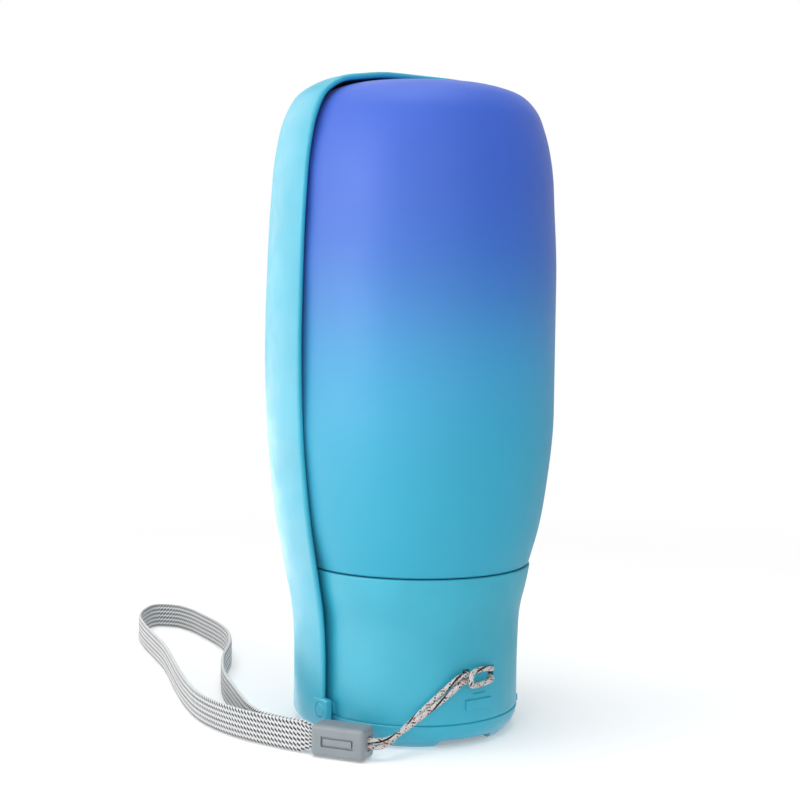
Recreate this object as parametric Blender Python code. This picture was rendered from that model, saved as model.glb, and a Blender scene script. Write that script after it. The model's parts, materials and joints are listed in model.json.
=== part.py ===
"""Pet water bottle with a folding drinking trough.

The bottle stands on its cap. A hard trough wraps the back half of the bottle and turns on two
pins low in the cap, to hang below the cap as a bowl. A ring under the cap turns to open the
water outlet. A wrist strap hangs from a bar moulded into the cap.

Metres, +Z up. Points here are measured from the bottle's own axis, +X away from the trough.
"""

import math

import bmesh
import bpy
from mathutils import Matrix, Vector

# Fits
FIT = 0.0003  # between pieces that touch
MERGE = 0.000001
OVERRUN = 0.002  # how far a cutter runs past what it cuts
ROUND_STEPS = 48
SMALL_STEPS = 20
MARK_STEPS = 12
SHARP_EDGE = math.radians(35.0)

# Bottle
BOTTLE_RADIUS = 0.041
BOTTLE_SEAM_RADIUS = 0.0341
BOTTLE_WALL = 0.0016
SEAM_HEIGHT = 0.0501  # top of the cap's collar
FLANK_HEIGHT = 0.0455  # seam to the widest part
BARREL_HEIGHT = 0.040  # the straight widest part
SHOULDER_HEIGHT = 0.0575  # widest part to the top of the dome
NECK_WALL = 0.0018

# Screw thread between neck and collar
THREAD_PITCH = 0.0032
THREAD_TURNS = 1.25
THREAD_DEPTH = 0.0009
THREAD_BASE = 0.0012
THREAD_CREST = 0.0005
THREAD_CLEARANCE = 0.00035
THREAD_START = 0.0045  # up from the neck's end
THREAD_STEPS = 32  # to a turn
THREAD_TAPER_SHARE = 0.25  # of its length, at each end

# Cap collar
COLLAR_RADIUS = 0.0312
COLLAR_FOOT_RADIUS = 0.0309
COLLAR_LIP_RADIUS = 0.0345
COLLAR_WALL = 0.0022
COLLAR_SHOULDER = 0.0012  # height of the rounding at its foot
LIP_ROUND = 0.0004
LIP_BAND = 0.003  # clear band inside the lip, over the thread bore
DECK_HEIGHT = 0.0256  # top of the floor inside the cap
DECK_THICKNESS = 0.002

# Lock ring under the cap
RING_RADIUS = 0.0311
RING_FOOT_RADIUS = 0.0271
RING_HEIGHT = 0.0068
RING_WALL = 0.0023
RING_FLOOR = 0.002
RING_EDGE = 0.0003
FOOT_GAP_COUNT = 4
FOOT_GAP_HEIGHT = 0.0022
FOOT_GAP_WIDTH = 0.0195
FOOT_GAP_SLANT = 0.001
FOOT_GAP_TURN = math.radians(-4.0)

# Water outlet, with its valves
PORT_DISTANCE = 0.012  # outlet from the bottle's axis
LOCK_TURN = math.radians(60.0)  # how far the ring turns to open
BORE_RADIUS = 0.003
TUBE_WALL = 0.0022
TUBE_FLANGE = 0.0016
FLANGE_THICKNESS = 0.0013
SPIGOT_WALL = 0.0011
SEAL_HEIGHT = 0.001
PAD_THICKNESS = 0.0007
PAD_RADIUS = 0.0195
MEMBRANE_RADIUS = 0.0062
MEMBRANE_THICKNESS = 0.0009
SLIT_WIDTH = 0.00035
SLIT_LENGTH = 0.0044
RETAINER_WALL = 0.0017
RETAINER_PLATE = 0.0015
VENT_STEM_RADIUS = 0.0013
VENT_CAP_RADIUS = 0.005
VENT_CAP_THICKNESS = 0.0008
VENT_BULB_RADIUS = 0.0022
VENT_BULB_HEIGHT = 0.0021
GASKET_THICKNESS = 0.002
GASKET_WIDTH = 0.0034

# Pivot of the lock ring
BOSS_RADIUS = 0.0042
SCREW_RADIUS = 0.001
SCREW_LENGTH = 0.013
SCREW_HEAD_RADIUS = 0.004
SCREW_HEAD_HEIGHT = 0.0014
SCREW_WASHER = 0.0005
DRIVE_WIDTH = 0.0009

# Trough
TROUGH_TOP = 0.1961
TROUGH_BOTTOM = 0.0011
TROUGH_HALF_WIDTH = 0.04395
TROUGH_DEPTH = 0.0478
TROUGH_WALL = 0.0018
TROUGH_CHAMFER = 0.0035
TROUGH_RIM_CHAMFER = 0.0009
CUT_OUT_RADIUS = 0.032  # round the cap, in the trough's end wall
TROUGH_SECTIONS = 24
TROUGH_FULLNESS = 2.2  # 2 would make its sections ellipses

# Hinge of the trough
HINGE_HEIGHT = 0.0088
PIN_RADIUS = 0.001
PIN_HEAD_RADIUS = 0.0022
PIN_HEAD_HEIGHT = 0.0008
EAR_SIZE = 0.0072
EAR_ROUND = 0.0016
EAR_INNER = 0.0326
EAR_PROUD = 0.00024  # past the trough's side
WASHER_RADIUS = 0.0021
WASHER_THICKNESS = 0.0005
HINGE_BOSS_HALF_WIDTH = 0.003
HINGE_BOSS_HEIGHT = 0.0046
HINGE_BOSS_DEPTH = 0.0075
HINGE_BOSS_ROUND = 0.0006

# Lanyard bar and marks moulded on the collar's front
BAR_HALF_WIDTH = 0.0034
HOLE_WIDTH = 0.0024
HOLE_BOTTOM = 0.0186
HOLE_TOP = 0.0231
PLATE_HALF_WIDTH = 0.0047
PLATE_BOTTOM = 0.0109
PLATE_TOP = 0.014
PLATE_PROUD = 0.00018
PLATE_ROUND = 0.0003
GROOVE_HALF_WIDTH = 0.0022
GROOVE_BOTTOM = 0.0155
GROOVE_TOP = 0.0161
GROOVE_DEPTH = 0.0004
MARK_TURN = math.radians(53.0)
MARK_RADIUS = 0.0011
MARK_PROUD = 0.0004
MARK_HEIGHT = 0.0079

# Wrist strap
CORD_RADIUS = 0.0008
STRAND_SPACING = 0.0019
TWIST_SHARE = 0.875  # of the legs' way, over which they make half a turn
SWING_POINT = (0.0327, -0.0081)  # where the cord's two legs leave the hitch
WEB_WIDTH = 0.009
WEB_THICKNESS = 0.0013
WEB_LIFT = 0.0002
WEB_TAPER = 0.004
WEB_EDGE = 0.0004
CLIP_CENTRE = (0.0186, -0.0393)
CLIP_TURN = math.radians(31.0)
CLIP_LENGTH = 0.0166
CLIP_WIDTH = 0.0076
CLIP_HEIGHT = 0.0093
CLIP_LIFT = 0.0003
CLIP_ROUND = 0.0011
CLIP_WALL = 0.0013
CLIP_SIDE_WALL = 0.0018
CLIP_END_WALL = 0.0024
CLIP_SLOT_HEIGHT = 0.0043
CLIP_MARK_LENGTH = 0.010
CLIP_MARK_HEIGHT = 0.003
CLIP_MARK_DEPTH = 0.0004
WEB_INSERTION = 0.0025
KNOT_LENGTH = 0.0024

# Outlines: shares of the radius and height that each part of the outline covers
FLANK_SHARES = ((0.0, 0.0), (0.41, 0.225), (0.765, 0.56), (1.0, 1.0))
SHOULDER_SHARES = (
    (1.0, 0.0),
    (0.978, 0.35),
    (0.955, 0.575),
    (0.901, 0.75),
    (0.844, 0.852),
    (0.757, 0.922),
    (0.6, 0.97),
    (0.3, 0.994),
    (0.0, 1.0),
)
COLLAR_FOOT_SHARES = ((0.0, 0.0), (0.7, 0.42), (1.0, 1.0))
COLLAR_FLARE_SHARES = ((0.0, 0.0), (0.015, 0.42), (0.18, 0.68), (0.73, 0.88), (1.0, 1.0))
RING_SIDE_SHARES = (
    (0.0, 0.0),
    (0.22, 0.1),
    (0.46, 0.25),
    (0.68, 0.4),
    (0.84, 0.55),
    (0.95, 0.7),
    (1.0, 0.88),
)

# Trough: height, half width and depth, each as a share of the whole
TROUGH_SHARES = (
    (0.0, 0.791, 0.81),
    (0.17, 0.812, 0.834),
    (0.23, 0.856, 0.891),
    (0.294, 0.906, 0.938),
    (0.414, 0.97, 0.98),
    (0.556, 1.0, 1.0),
    (0.685, 0.993, 0.986),
    (0.805, 0.971, 0.958),
    (0.877, 0.941, 0.932),
    (0.93, 0.888, 0.883),
    (0.961, 0.822, 0.816),
    (0.982, 0.705, 0.69),
    (0.9953, 0.458, 0.46),
    (1.0, 0.0, 0.0),
)

# Route of the hitch round the lanyard bar, from one leg to the other
HITCH_ROUTE = (
    (0.0324, -0.0078, 0.0217),
    (0.0324, -0.0067, 0.0218),
    (0.0321, -0.0055, 0.0218),
    (0.0312, -0.0047, 0.0218),
    (0.0298, -0.0046, 0.0218),
    (0.0286, -0.0045, 0.0217),
    (0.02772, -0.0038, 0.0216),
    (0.0277, -0.0018, 0.0216),
    (0.0277, 0.0018, 0.0216),
    (0.02772, 0.0038, 0.0216),
    (0.0286, 0.0046, 0.0217),
    (0.0298, 0.0047, 0.0219),
    (0.0312, 0.0046, 0.0222),
    (0.0324, 0.0034, 0.0226),
    (0.0328, 0.0015, 0.0229),
    (0.033, -0.0009, 0.023),
    (0.0335, -0.0032, 0.0229),
    (0.0343, -0.0051, 0.0225),
    (0.0349, -0.0059, 0.0217),
    (0.035, -0.0061, 0.0208),
    (0.0349, -0.0059, 0.0199),
    (0.0343, -0.0051, 0.0191),
    (0.0335, -0.0032, 0.0187),
    (0.033, -0.0009, 0.0187),
    (0.0328, 0.0015, 0.0189),
    (0.0324, 0.0034, 0.0192),
    (0.0312, 0.0046, 0.0195),
    (0.0298, 0.0047, 0.0197),
    (0.0286, 0.0046, 0.0198),
    (0.02772, 0.0038, 0.0198),
    (0.0277, 0.0018, 0.0198),
    (0.0277, -0.0018, 0.0198),
    (0.02772, -0.0038, 0.0198),
    (0.0286, -0.0045, 0.0198),
    (0.0298, -0.0046, 0.0198),
    (0.0312, -0.0047, 0.0198),
    (0.0321, -0.0055, 0.0198),
    (0.0323, -0.0066, 0.0198),
    (0.0323, -0.0075, 0.0197),
)

# Middle line between the cord's two legs, from the hitch down into the clip
LEG_ROUTE = (
    (0.0324, -0.0087, 0.0204),
    (0.0321, -0.0099, 0.0193),
    (0.0313, -0.012, 0.0174),
    (0.0303, -0.0146, 0.0152),
    (0.0294, -0.017, 0.0132),
    (0.0287, -0.02, 0.011),
    (0.0282, -0.023, 0.0089),
    (0.0281, -0.0258, 0.0073),
    (0.0284, -0.0286, 0.0061),
    (0.0283, -0.0312, 0.0053),
    (0.0274, -0.0335, 0.005),
    (0.0257, -0.035, 0.00495),
    (0.0234, -0.0364, 0.00495),
)

# Middle line of the webbing loop in plan, out of the clip and back into it
WEB_ROUTE = (
    (0.0142, -0.0432),
    (0.012, -0.0445),
    (0.0086, -0.0465),
    (0.004, -0.0486),
    (-0.002, -0.0509),
    (-0.009, -0.0532),
    (-0.0177, -0.055),
    (-0.0264, -0.0556),
    (-0.036, -0.0548),
    (-0.05, -0.0513),
    (-0.065, -0.0462),
    (-0.0815, -0.0399),
    (-0.1005, -0.0329),
    (-0.119, -0.0277),
    (-0.134, -0.0234),
    (-0.1475, -0.0182),
    (-0.158, -0.0108),
    (-0.163, -0.0035),
    (-0.158, 0.002),
    (-0.1475, 0.0036),
    (-0.1375, 0.0026),
    (-0.111, -0.0024),
    (-0.0938, -0.0106),
    (-0.0745, -0.0244),
    (-0.054, -0.0357),
    (-0.04, -0.0409),
    (-0.028, -0.0452),
    (-0.016, -0.0489),
    (-0.007, -0.05),
    (-0.001, -0.0484),
    (0.0045, -0.0462),
    (0.0086, -0.0441),
    (0.01095, -0.0427),
    (0.0131, -0.0414),
)

# Heights and radii that follow from the sizes above
BOTTLE_BOTTOM = SEAM_HEIGHT + FIT
BOTTLE_TOP = BOTTLE_BOTTOM + FLANK_HEIGHT + BARREL_HEIGHT + SHOULDER_HEIGHT
NECK_END = DECK_HEIGHT + GASKET_THICKNESS + 2 * FIT
COLLAR_BOTTOM = RING_HEIGHT + FIT
DECK_UNDERSIDE = DECK_HEIGHT - DECK_THICKNESS
BORE_OF_COLLAR = COLLAR_RADIUS - COLLAR_WALL + FIT
NECK_RADIUS = BORE_OF_COLLAR - THREAD_DEPTH - THREAD_CLEARANCE
FLOOR_UNDERSIDE = RING_HEIGHT - RING_FLOOR
PAD_BOTTOM = RING_HEIGHT + FIT
SEAL_BOTTOM = PAD_BOTTOM + PAD_THICKNESS + FIT
TUBE_BOTTOM = SEAL_BOTTOM + SEAL_HEIGHT + FIT
FLANGE_TOP = DECK_UNDERSIDE - FIT
TUBE_RADIUS = BORE_RADIUS + TUBE_WALL
SPIGOT_RADIUS = BORE_RADIUS + SPIGOT_WALL
WASHER_BORE = PIN_RADIUS + FIT
EAR_OUTER = TROUGH_HALF_WIDTH * TROUGH_SHARES[0][1] + EAR_PROUD
AXIS_X = (TROUGH_DEPTH - BOTTLE_RADIUS) / 2

CLIP_ALONG = Vector((math.cos(CLIP_TURN), math.sin(CLIP_TURN), 0))
CLIP_MIDDLE = Vector((*CLIP_CENTRE, CLIP_LIFT + CLIP_HEIGHT / 2))
WEB_END_WIDTH = CLIP_HEIGHT - 2 * CLIP_WALL - 2 * FIT


def clear_scene():
    for obj in list(bpy.data.objects):
        bpy.data.objects.remove(obj, do_unlink=True)


def material(name, colour, roughness, metallic=0.0):
    made = bpy.data.materials.new(name)
    made.use_nodes = True
    shader = made.node_tree.nodes["Principled BSDF"]
    shader.inputs["Base Color"].default_value = (*colour, 1)
    shader.inputs["Roughness"].default_value = roughness
    shader.inputs["Metallic"].default_value = metallic
    made.diffuse_color = (*colour, 1)
    return made


def make_empty(name, place, parent=None):
    empty = bpy.data.objects.new(name, None)
    bpy.context.scene.collection.objects.link(empty)
    empty.parent = parent
    empty.location = place
    empty.empty_display_size = BOTTLE_RADIUS
    return empty


def make_object(name, bm, body, finish=None):
    """An object of this bmesh, whose points are measured from the bottle's axis."""
    bmesh.ops.remove_doubles(bm, verts=bm.verts, dist=MERGE)
    bmesh.ops.recalc_face_normals(bm, faces=bm.faces)
    mesh = bpy.data.meshes.new(name)
    bm.to_mesh(mesh)
    bm.free()
    mesh.shade_smooth()
    mesh.set_sharp_from_angle(angle=SHARP_EDGE)
    obj = bpy.data.objects.new(name, mesh)
    bpy.context.scene.collection.objects.link(obj)
    obj.parent = body
    obj.location = -body.location
    if finish:
        mesh.materials.append(finish)
    return obj


def apply_shape(obj, operation, name, bm):
    """Adds a shape to an object, or takes it away, with a Boolean that stays on the object."""
    tool = make_object(f"{obj.name}.{name}", bm, obj.parent)
    tool.hide_render = True
    tool.display_type = "WIRE"
    boolean = obj.modifiers.new(name, "BOOLEAN")
    boolean.operation = operation
    boolean.solver = "EXACT"
    boolean.object = tool


def cut(obj, name, bm):
    apply_shape(obj, "DIFFERENCE", name, bm)


def join(obj, name, bm):
    apply_shape(obj, "UNION", name, bm)


def smooth(points, steps, first_way=None, last_way=None):
    """Points on a smooth curve through the given ones, with this many steps to a span."""
    points = [Vector(point) for point in points]
    spans = [b - a for a, b in zip(points, points[1:])]
    ways = [spans[0].normalized()]
    for before, after in zip(spans, spans[1:]):
        weighted = before.normalized() * after.length + after.normalized() * before.length
        ways.append(weighted / (before.length + after.length))
    ways.append(spans[-1].normalized())
    if first_way:
        ways[0] = Vector(first_way)
    if last_way:
        ways[-1] = Vector(last_way)
    curve = []
    for index, span in enumerate(spans):
        start, end = points[index], points[index + 1]
        leave, arrive = ways[index] * span.length, ways[index + 1] * span.length
        for step in range(steps):
            t = step / steps
            curve.append(
                start * (2 * t**3 - 3 * t**2 + 1)
                + leave * (t**3 - 2 * t**2 + t)
                + end * (3 * t**2 - 2 * t**3)
                + arrive * (t**3 - t**2)
            )
    return curve + [points[-1]]


def lathe(outline, steps=ROUND_STEPS, centre=(0, 0)):
    """An outline of (radius, height) points turned about an upright axis."""
    bm = bmesh.new()
    rings = []
    for step in range(steps):
        angle = 2 * math.pi * step / steps
        x, y = math.cos(angle), math.sin(angle)
        ring = [bm.verts.new((centre[0] + r * x, centre[1] + r * y, z)) for r, z in outline]
        rings.append(ring)
    for here, after in zip(rings, rings[1:] + rings[:1]):
        for low in range(len(outline)):
            high = (low + 1) % len(outline)
            if outline[low][0] or outline[high][0]:
                bm.faces.new((here[low], after[low], after[high], here[high]))
    return bm


def rod(radius, start, end, steps=SMALL_STEPS):
    """A round bar between two points."""
    start, end = Vector(start), Vector(end)
    along = end - start
    half_step = Matrix.Rotation(math.pi / steps, 4, "Z")
    turn = Vector((0, 0, 1)).rotation_difference(along).to_matrix().to_4x4() @ half_step
    bm = bmesh.new()
    bmesh.ops.create_cone(
        bm,
        cap_ends=True,
        segments=steps,
        radius1=radius,
        radius2=radius,
        depth=along.length,
        matrix=Matrix.Translation((start + end) / 2) @ turn,
    )
    return bm


def box(low, high, rounding=0.0, segments=2):
    """A block between two corners, with rounded edges where a rounding is given."""
    low, high = Vector(low), Vector(high)
    bm = bmesh.new()
    bmesh.ops.create_cube(bm, size=1)
    bmesh.ops.scale(bm, vec=high - low, verts=bm.verts)
    bmesh.ops.translate(bm, vec=(low + high) / 2, verts=bm.verts)
    if rounding:
        bmesh.ops.bevel(
            bm,
            geom=bm.edges[:],
            offset=rounding,
            segments=segments,
            profile=0.5,
            affect="EDGES",
        )
    return bm


def turned_about_z(bm, angle, centre=(0, 0, 0)):
    about = Matrix.Translation(centre)
    turn = about @ Matrix.Rotation(angle, 4, "Z") @ about.inverted()
    bmesh.ops.transform(bm, matrix=turn, verts=bm.verts)
    return bm


def thread(root_radius, crest_radius, start_height):
    """A helical rib, buried a little in the wall that carries it, with both ends tapered off."""
    buried = math.copysign(FIT, root_radius - crest_radius)
    sections = int(THREAD_TURNS * THREAD_STEPS)
    bm = bmesh.new()
    rings = []
    for section in range(sections + 1):
        turns = section / THREAD_STEPS
        angle = 2 * math.pi * turns
        height = start_height + THREAD_PITCH * turns
        from_end = min(section, sections - section) / sections
        taper = min(1, from_end / THREAD_TAPER_SHARE)
        crest = root_radius + (crest_radius - root_radius) * taper
        corners = (
            (root_radius + buried, -THREAD_BASE / 2),
            (root_radius + buried, THREAD_BASE / 2),
            (crest, THREAD_CREST / 2),
            (crest, -THREAD_CREST / 2),
        )
        rings.append(
            [
                bm.verts.new((r * math.cos(angle), r * math.sin(angle), height + up))
                for r, up in corners
            ]
        )
    for here, after in zip(rings, rings[1:]):
        for low in range(4):
            high = (low + 1) % 4
            bm.faces.new((here[low], here[high], after[high], after[low]))
    bm.faces.new(rings[0])
    bm.faces.new(rings[-1])
    return bm


def tube(name, route, body, finish):
    """A cord of round section along a route."""
    curve = bpy.data.curves.new(name, "CURVE")
    curve.dimensions = "3D"
    curve.bevel_depth = CORD_RADIUS
    curve.bevel_resolution = 2
    curve.use_fill_caps = True
    spline = curve.splines.new("POLY")
    spline.points.add(len(route) - 1)
    for point, place in zip(spline.points, route):
        point.co = (*place, 1)
    curve.materials.append(finish)
    obj = bpy.data.objects.new(name, curve)
    bpy.context.scene.collection.objects.link(obj)
    obj.parent = body
    obj.location = -body.location
    return obj


def bottle_outline(radius, seam_radius, bottom, top, steps):
    """The bottle's side from the seam to the middle of its dome, with steps to each span."""
    flank = [
        (seam_radius + (radius - seam_radius) * out, bottom + FLANK_HEIGHT * up)
        for out, up in FLANK_SHARES
    ]
    shoulder = [
        (radius * out, top - SHOULDER_HEIGHT * (1 - up)) for out, up in SHOULDER_SHARES
    ]
    return smooth(flank, steps, last_way=(0, 1)) + smooth(
        shoulder, steps, first_way=(0, 1), last_way=(-1, 0)
    )


def make_bottle(body, finish):
    outside = bottle_outline(BOTTLE_RADIUS, BOTTLE_SEAM_RADIUS, BOTTLE_BOTTOM, BOTTLE_TOP, 2)
    inside = bottle_outline(
        BOTTLE_RADIUS - BOTTLE_WALL,
        BOTTLE_SEAM_RADIUS - BOTTLE_WALL,
        BOTTLE_BOTTOM + BOTTLE_WALL,
        BOTTLE_TOP - BOTTLE_WALL,
        1,
    )
    neck_inside = NECK_RADIUS - NECK_WALL
    neck = [
        (NECK_RADIUS, BOTTLE_BOTTOM),
        (NECK_RADIUS, NECK_END),
        (neck_inside, NECK_END),
        (neck_inside, BOTTLE_BOTTOM + BOTTLE_WALL),
    ]
    outline = outside[::-1] + neck + inside
    bottle = make_object("bottle_body", lathe(outline), body, finish)
    rib = thread(NECK_RADIUS, NECK_RADIUS + THREAD_DEPTH, NECK_END + THREAD_START)
    join(bottle, "thread", rib)
    return bottle


def make_neck_gasket(body, finish):
    outer = BORE_OF_COLLAR - 2 * FIT
    top = NECK_END - FIT
    bottom = top - GASKET_THICKNESS
    outline = [
        (outer, bottom),
        (outer, top),
        (outer - GASKET_WIDTH, top),
        (outer - GASKET_WIDTH, bottom),
    ]
    make_object("neck_gasket", lathe(outline), body, finish)


def collar_outline():
    flare_bottom = COLLAR_BOTTOM + COLLAR_SHOULDER
    flare_top = SEAM_HEIGHT - LIP_ROUND
    foot = [
        (
            COLLAR_FOOT_RADIUS + (COLLAR_RADIUS - COLLAR_FOOT_RADIUS) * out,
            COLLAR_BOTTOM + COLLAR_SHOULDER * up,
        )
        for out, up in COLLAR_FOOT_SHARES
    ]
    flare = [
        (
            COLLAR_RADIUS + (COLLAR_LIP_RADIUS - COLLAR_RADIUS) * out,
            flare_bottom + (flare_top - flare_bottom) * up,
        )
        for out, up in COLLAR_FLARE_SHARES
    ]
    outside = smooth(foot, 2, last_way=(0, 1))[:-1] + smooth(flare, 2, first_way=(0, 1))
    lip_inside = COLLAR_LIP_RADIUS - COLLAR_WALL
    inner_wall = COLLAR_RADIUS - COLLAR_WALL
    boss_bottom = PAD_BOTTOM
    inside = [
        (COLLAR_LIP_RADIUS - LIP_ROUND, SEAM_HEIGHT),
        (lip_inside, SEAM_HEIGHT),
        (lip_inside, SEAM_HEIGHT - LIP_BAND),
        (BORE_OF_COLLAR, SEAM_HEIGHT - LIP_BAND - COLLAR_WALL),
        (BORE_OF_COLLAR, DECK_HEIGHT),
        (0, DECK_HEIGHT),
        (0, boss_bottom),
        (BOSS_RADIUS, boss_bottom),
        (BOSS_RADIUS, DECK_UNDERSIDE),
        (inner_wall, DECK_UNDERSIDE),
        (inner_wall, flare_bottom),
        (COLLAR_FOOT_RADIUS - COLLAR_WALL, COLLAR_BOTTOM),
    ]
    return outside + inside


def make_collar(body, finish):
    collar = make_object("cap_collar", lathe(collar_outline()), body, finish)
    start = NECK_END + THREAD_START + THREAD_PITCH / 2
    crest = BORE_OF_COLLAR - THREAD_DEPTH
    join(collar, "thread", thread(BORE_OF_COLLAR, crest, start))
    wall_middle = COLLAR_RADIUS - COLLAR_WALL / 2
    boss_top = COLLAR_BOTTOM + HINGE_BOSS_HEIGHT
    boss_face = EAR_INNER - WASHER_THICKNESS - 2 * FIT
    for side, name in ((-1, "right"), (1, "left")):
        boss = box(
            (-HINGE_BOSS_HALF_WIDTH, boss_face - HINGE_BOSS_DEPTH, COLLAR_BOTTOM),
            (HINGE_BOSS_HALF_WIDTH, boss_face, boss_top),
            HINGE_BOSS_ROUND,
        )
        if side < 0:
            turned_about_z(boss, math.pi)
        join(collar, f"hinge_boss_{name}", boss)
        hole = rod(
            PIN_RADIUS + FIT,
            (0, side * (boss_face - HINGE_BOSS_DEPTH - OVERRUN), HINGE_HEIGHT),
            (0, side * (boss_face + OVERRUN), HINGE_HEIGHT),
        )
        cut(collar, f"pin_hole_{name}", hole)
        near, far = side * BAR_HALF_WIDTH, side * (BAR_HALF_WIDTH + HOLE_WIDTH)
        hole = box(
            (wall_middle - COLLAR_WALL - OVERRUN, min(near, far), HOLE_BOTTOM),
            (wall_middle + COLLAR_WALL, max(near, far), HOLE_TOP),
        )
        cut(collar, f"lanyard_hole_{name}", hole)
    plate = box(
        (wall_middle, -PLATE_HALF_WIDTH, PLATE_BOTTOM),
        (COLLAR_RADIUS + PLATE_PROUD, PLATE_HALF_WIDTH, PLATE_TOP),
        PLATE_ROUND,
        1,
    )
    join(collar, "plate", plate)
    groove = box(
        (COLLAR_RADIUS - GROOVE_DEPTH, -GROOVE_HALF_WIDTH, GROOVE_BOTTOM),
        (COLLAR_RADIUS + OVERRUN, GROOVE_HALF_WIDTH, GROOVE_TOP),
    )
    cut(collar, "groove", groove)
    mark_way = Vector((math.cos(MARK_TURN), math.sin(MARK_TURN), 0))
    up = Vector((0, 0, MARK_HEIGHT))
    mark = rod(
        MARK_RADIUS,
        mark_way * (COLLAR_RADIUS - COLLAR_WALL / 2) + up,
        mark_way * (COLLAR_RADIUS + MARK_PROUD) + up,
        MARK_STEPS,
    )
    join(collar, "mark", mark)
    screw_hole = rod(
        SCREW_RADIUS + FIT,
        (0, 0, PAD_BOTTOM - OVERRUN),
        (0, 0, FLOOR_UNDERSIDE + SCREW_LENGTH + OVERRUN / 2),
    )
    cut(collar, "screw_hole", screw_hole)
    below, above = DECK_UNDERSIDE - OVERRUN, DECK_HEIGHT + OVERRUN
    port = rod(SPIGOT_RADIUS + FIT, (-PORT_DISTANCE, 0, below), (-PORT_DISTANCE, 0, above))
    cut(collar, "outlet_port", port)
    vent = rod(VENT_STEM_RADIUS + FIT, (PORT_DISTANCE, 0, below), (PORT_DISTANCE, 0, above))
    cut(collar, "vent_port", vent)


def make_outlet(body, plastic, silicone):
    at_port = (-PORT_DISTANCE, 0)
    flange = TUBE_RADIUS + TUBE_FLANGE
    spigot_top = DECK_HEIGHT - FIT
    tube_outline = [
        (TUBE_RADIUS, TUBE_BOTTOM),
        (TUBE_RADIUS, FLANGE_TOP - FLANGE_THICKNESS),
        (flange, FLANGE_TOP - FLANGE_THICKNESS),
        (flange, FLANGE_TOP),
        (SPIGOT_RADIUS, FLANGE_TOP),
        (SPIGOT_RADIUS, spigot_top),
        (BORE_RADIUS, spigot_top),
        (BORE_RADIUS, TUBE_BOTTOM),
    ]
    make_object("outlet_tube", lathe(tube_outline, SMALL_STEPS, at_port), body, plastic)
    seal_edge = SEAL_HEIGHT / 4
    seal_inner, seal_outer = BORE_RADIUS + seal_edge, TUBE_RADIUS
    seal_top = SEAL_BOTTOM + SEAL_HEIGHT
    seal_outline = [
        (seal_outer - seal_edge, SEAL_BOTTOM),
        (seal_outer, SEAL_BOTTOM + seal_edge),
        (seal_outer, seal_top - seal_edge),
        (seal_outer - seal_edge, seal_top),
        (seal_inner + seal_edge, seal_top),
        (seal_inner, seal_top - seal_edge),
        (seal_inner, SEAL_BOTTOM + seal_edge),
        (seal_inner + seal_edge, SEAL_BOTTOM),
    ]
    make_object("outlet_seal", lathe(seal_outline, SMALL_STEPS, at_port), body, silicone)
    make_membrane(body, silicone, at_port)
    make_retainer(body, plastic, at_port)


def make_membrane(body, finish, centre):
    bottom = DECK_HEIGHT + FIT
    top = bottom + MEMBRANE_THICKNESS
    outline = [(0, bottom), (MEMBRANE_RADIUS, bottom), (MEMBRANE_RADIUS, top), (0, top)]
    disc = lathe(outline, SMALL_STEPS, centre)
    membrane = make_object("valve_membrane", disc, body, finish)
    middle = Vector((*centre, (bottom + top) / 2))
    half = Vector((SLIT_LENGTH / 2, SLIT_WIDTH / 2, OVERRUN))
    across = Vector((SLIT_WIDTH / 2, SLIT_LENGTH / 2, OVERRUN))
    cut(membrane, "slit", box(middle - half, middle + half))
    cut(membrane, "cross_slit", box(middle - across, middle + across))


def make_retainer(body, finish, centre):
    bottom = DECK_HEIGHT + FIT
    under_plate = bottom + MEMBRANE_THICKNESS + FIT
    top = under_plate + RETAINER_PLATE
    inner = MEMBRANE_RADIUS + FIT
    outer = inner + RETAINER_WALL
    mouth = BORE_RADIUS + 2 * FIT
    outline = [
        (outer, bottom),
        (outer, top),
        (mouth, top),
        (mouth, under_plate),
        (inner, under_plate),
        (inner, bottom),
    ]
    make_object("valve_retainer", lathe(outline, SMALL_STEPS, centre), body, finish)


def make_vent_valve(body, finish):
    cap_bottom = DECK_HEIGHT + FIT
    bulb_top = DECK_UNDERSIDE - FIT
    outline = [
        (0, bulb_top - VENT_BULB_HEIGHT),
        (VENT_STEM_RADIUS, bulb_top - VENT_BULB_HEIGHT),
        (VENT_BULB_RADIUS, bulb_top),
        (VENT_STEM_RADIUS, bulb_top),
        (VENT_STEM_RADIUS, cap_bottom),
        (VENT_CAP_RADIUS, cap_bottom),
        (VENT_STEM_RADIUS, cap_bottom + VENT_CAP_THICKNESS),
        (0, cap_bottom + VENT_CAP_THICKNESS),
    ]
    shape = lathe(outline, SMALL_STEPS, (PORT_DISTANCE, 0))
    make_object("vent_valve", shape, body, finish)


def make_lock_ring(body, finish):
    side = [
        (RING_FOOT_RADIUS + (RING_RADIUS - RING_FOOT_RADIUS) * out, RING_HEIGHT * up)
        for out, up in RING_SIDE_SHARES
    ]
    hole = SCREW_RADIUS + FIT
    outline = [
        *side,
        (RING_RADIUS, RING_HEIGHT - RING_EDGE),
        (RING_RADIUS - RING_EDGE, RING_HEIGHT),
        (hole, RING_HEIGHT),
        (hole, FLOOR_UNDERSIDE),
        (RING_RADIUS - RING_WALL, FLOOR_UNDERSIDE),
        (RING_FOOT_RADIUS - RING_WALL, 0),
    ]
    ring = make_object("lock_ring", lathe(outline), body, finish)
    for gap in range(FOOT_GAP_COUNT):
        turn = FOOT_GAP_TURN + 2 * math.pi * gap / FOOT_GAP_COUNT
        cut(ring, f"foot_gap_{gap}", turned_about_z(foot_gap(), turn))
    x, y = closed_port()
    port = rod(
        BORE_RADIUS + FIT,
        (x, y, FLOOR_UNDERSIDE - OVERRUN),
        (x, y, RING_HEIGHT + OVERRUN),
    )
    cut(ring, "port", port)


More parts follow.
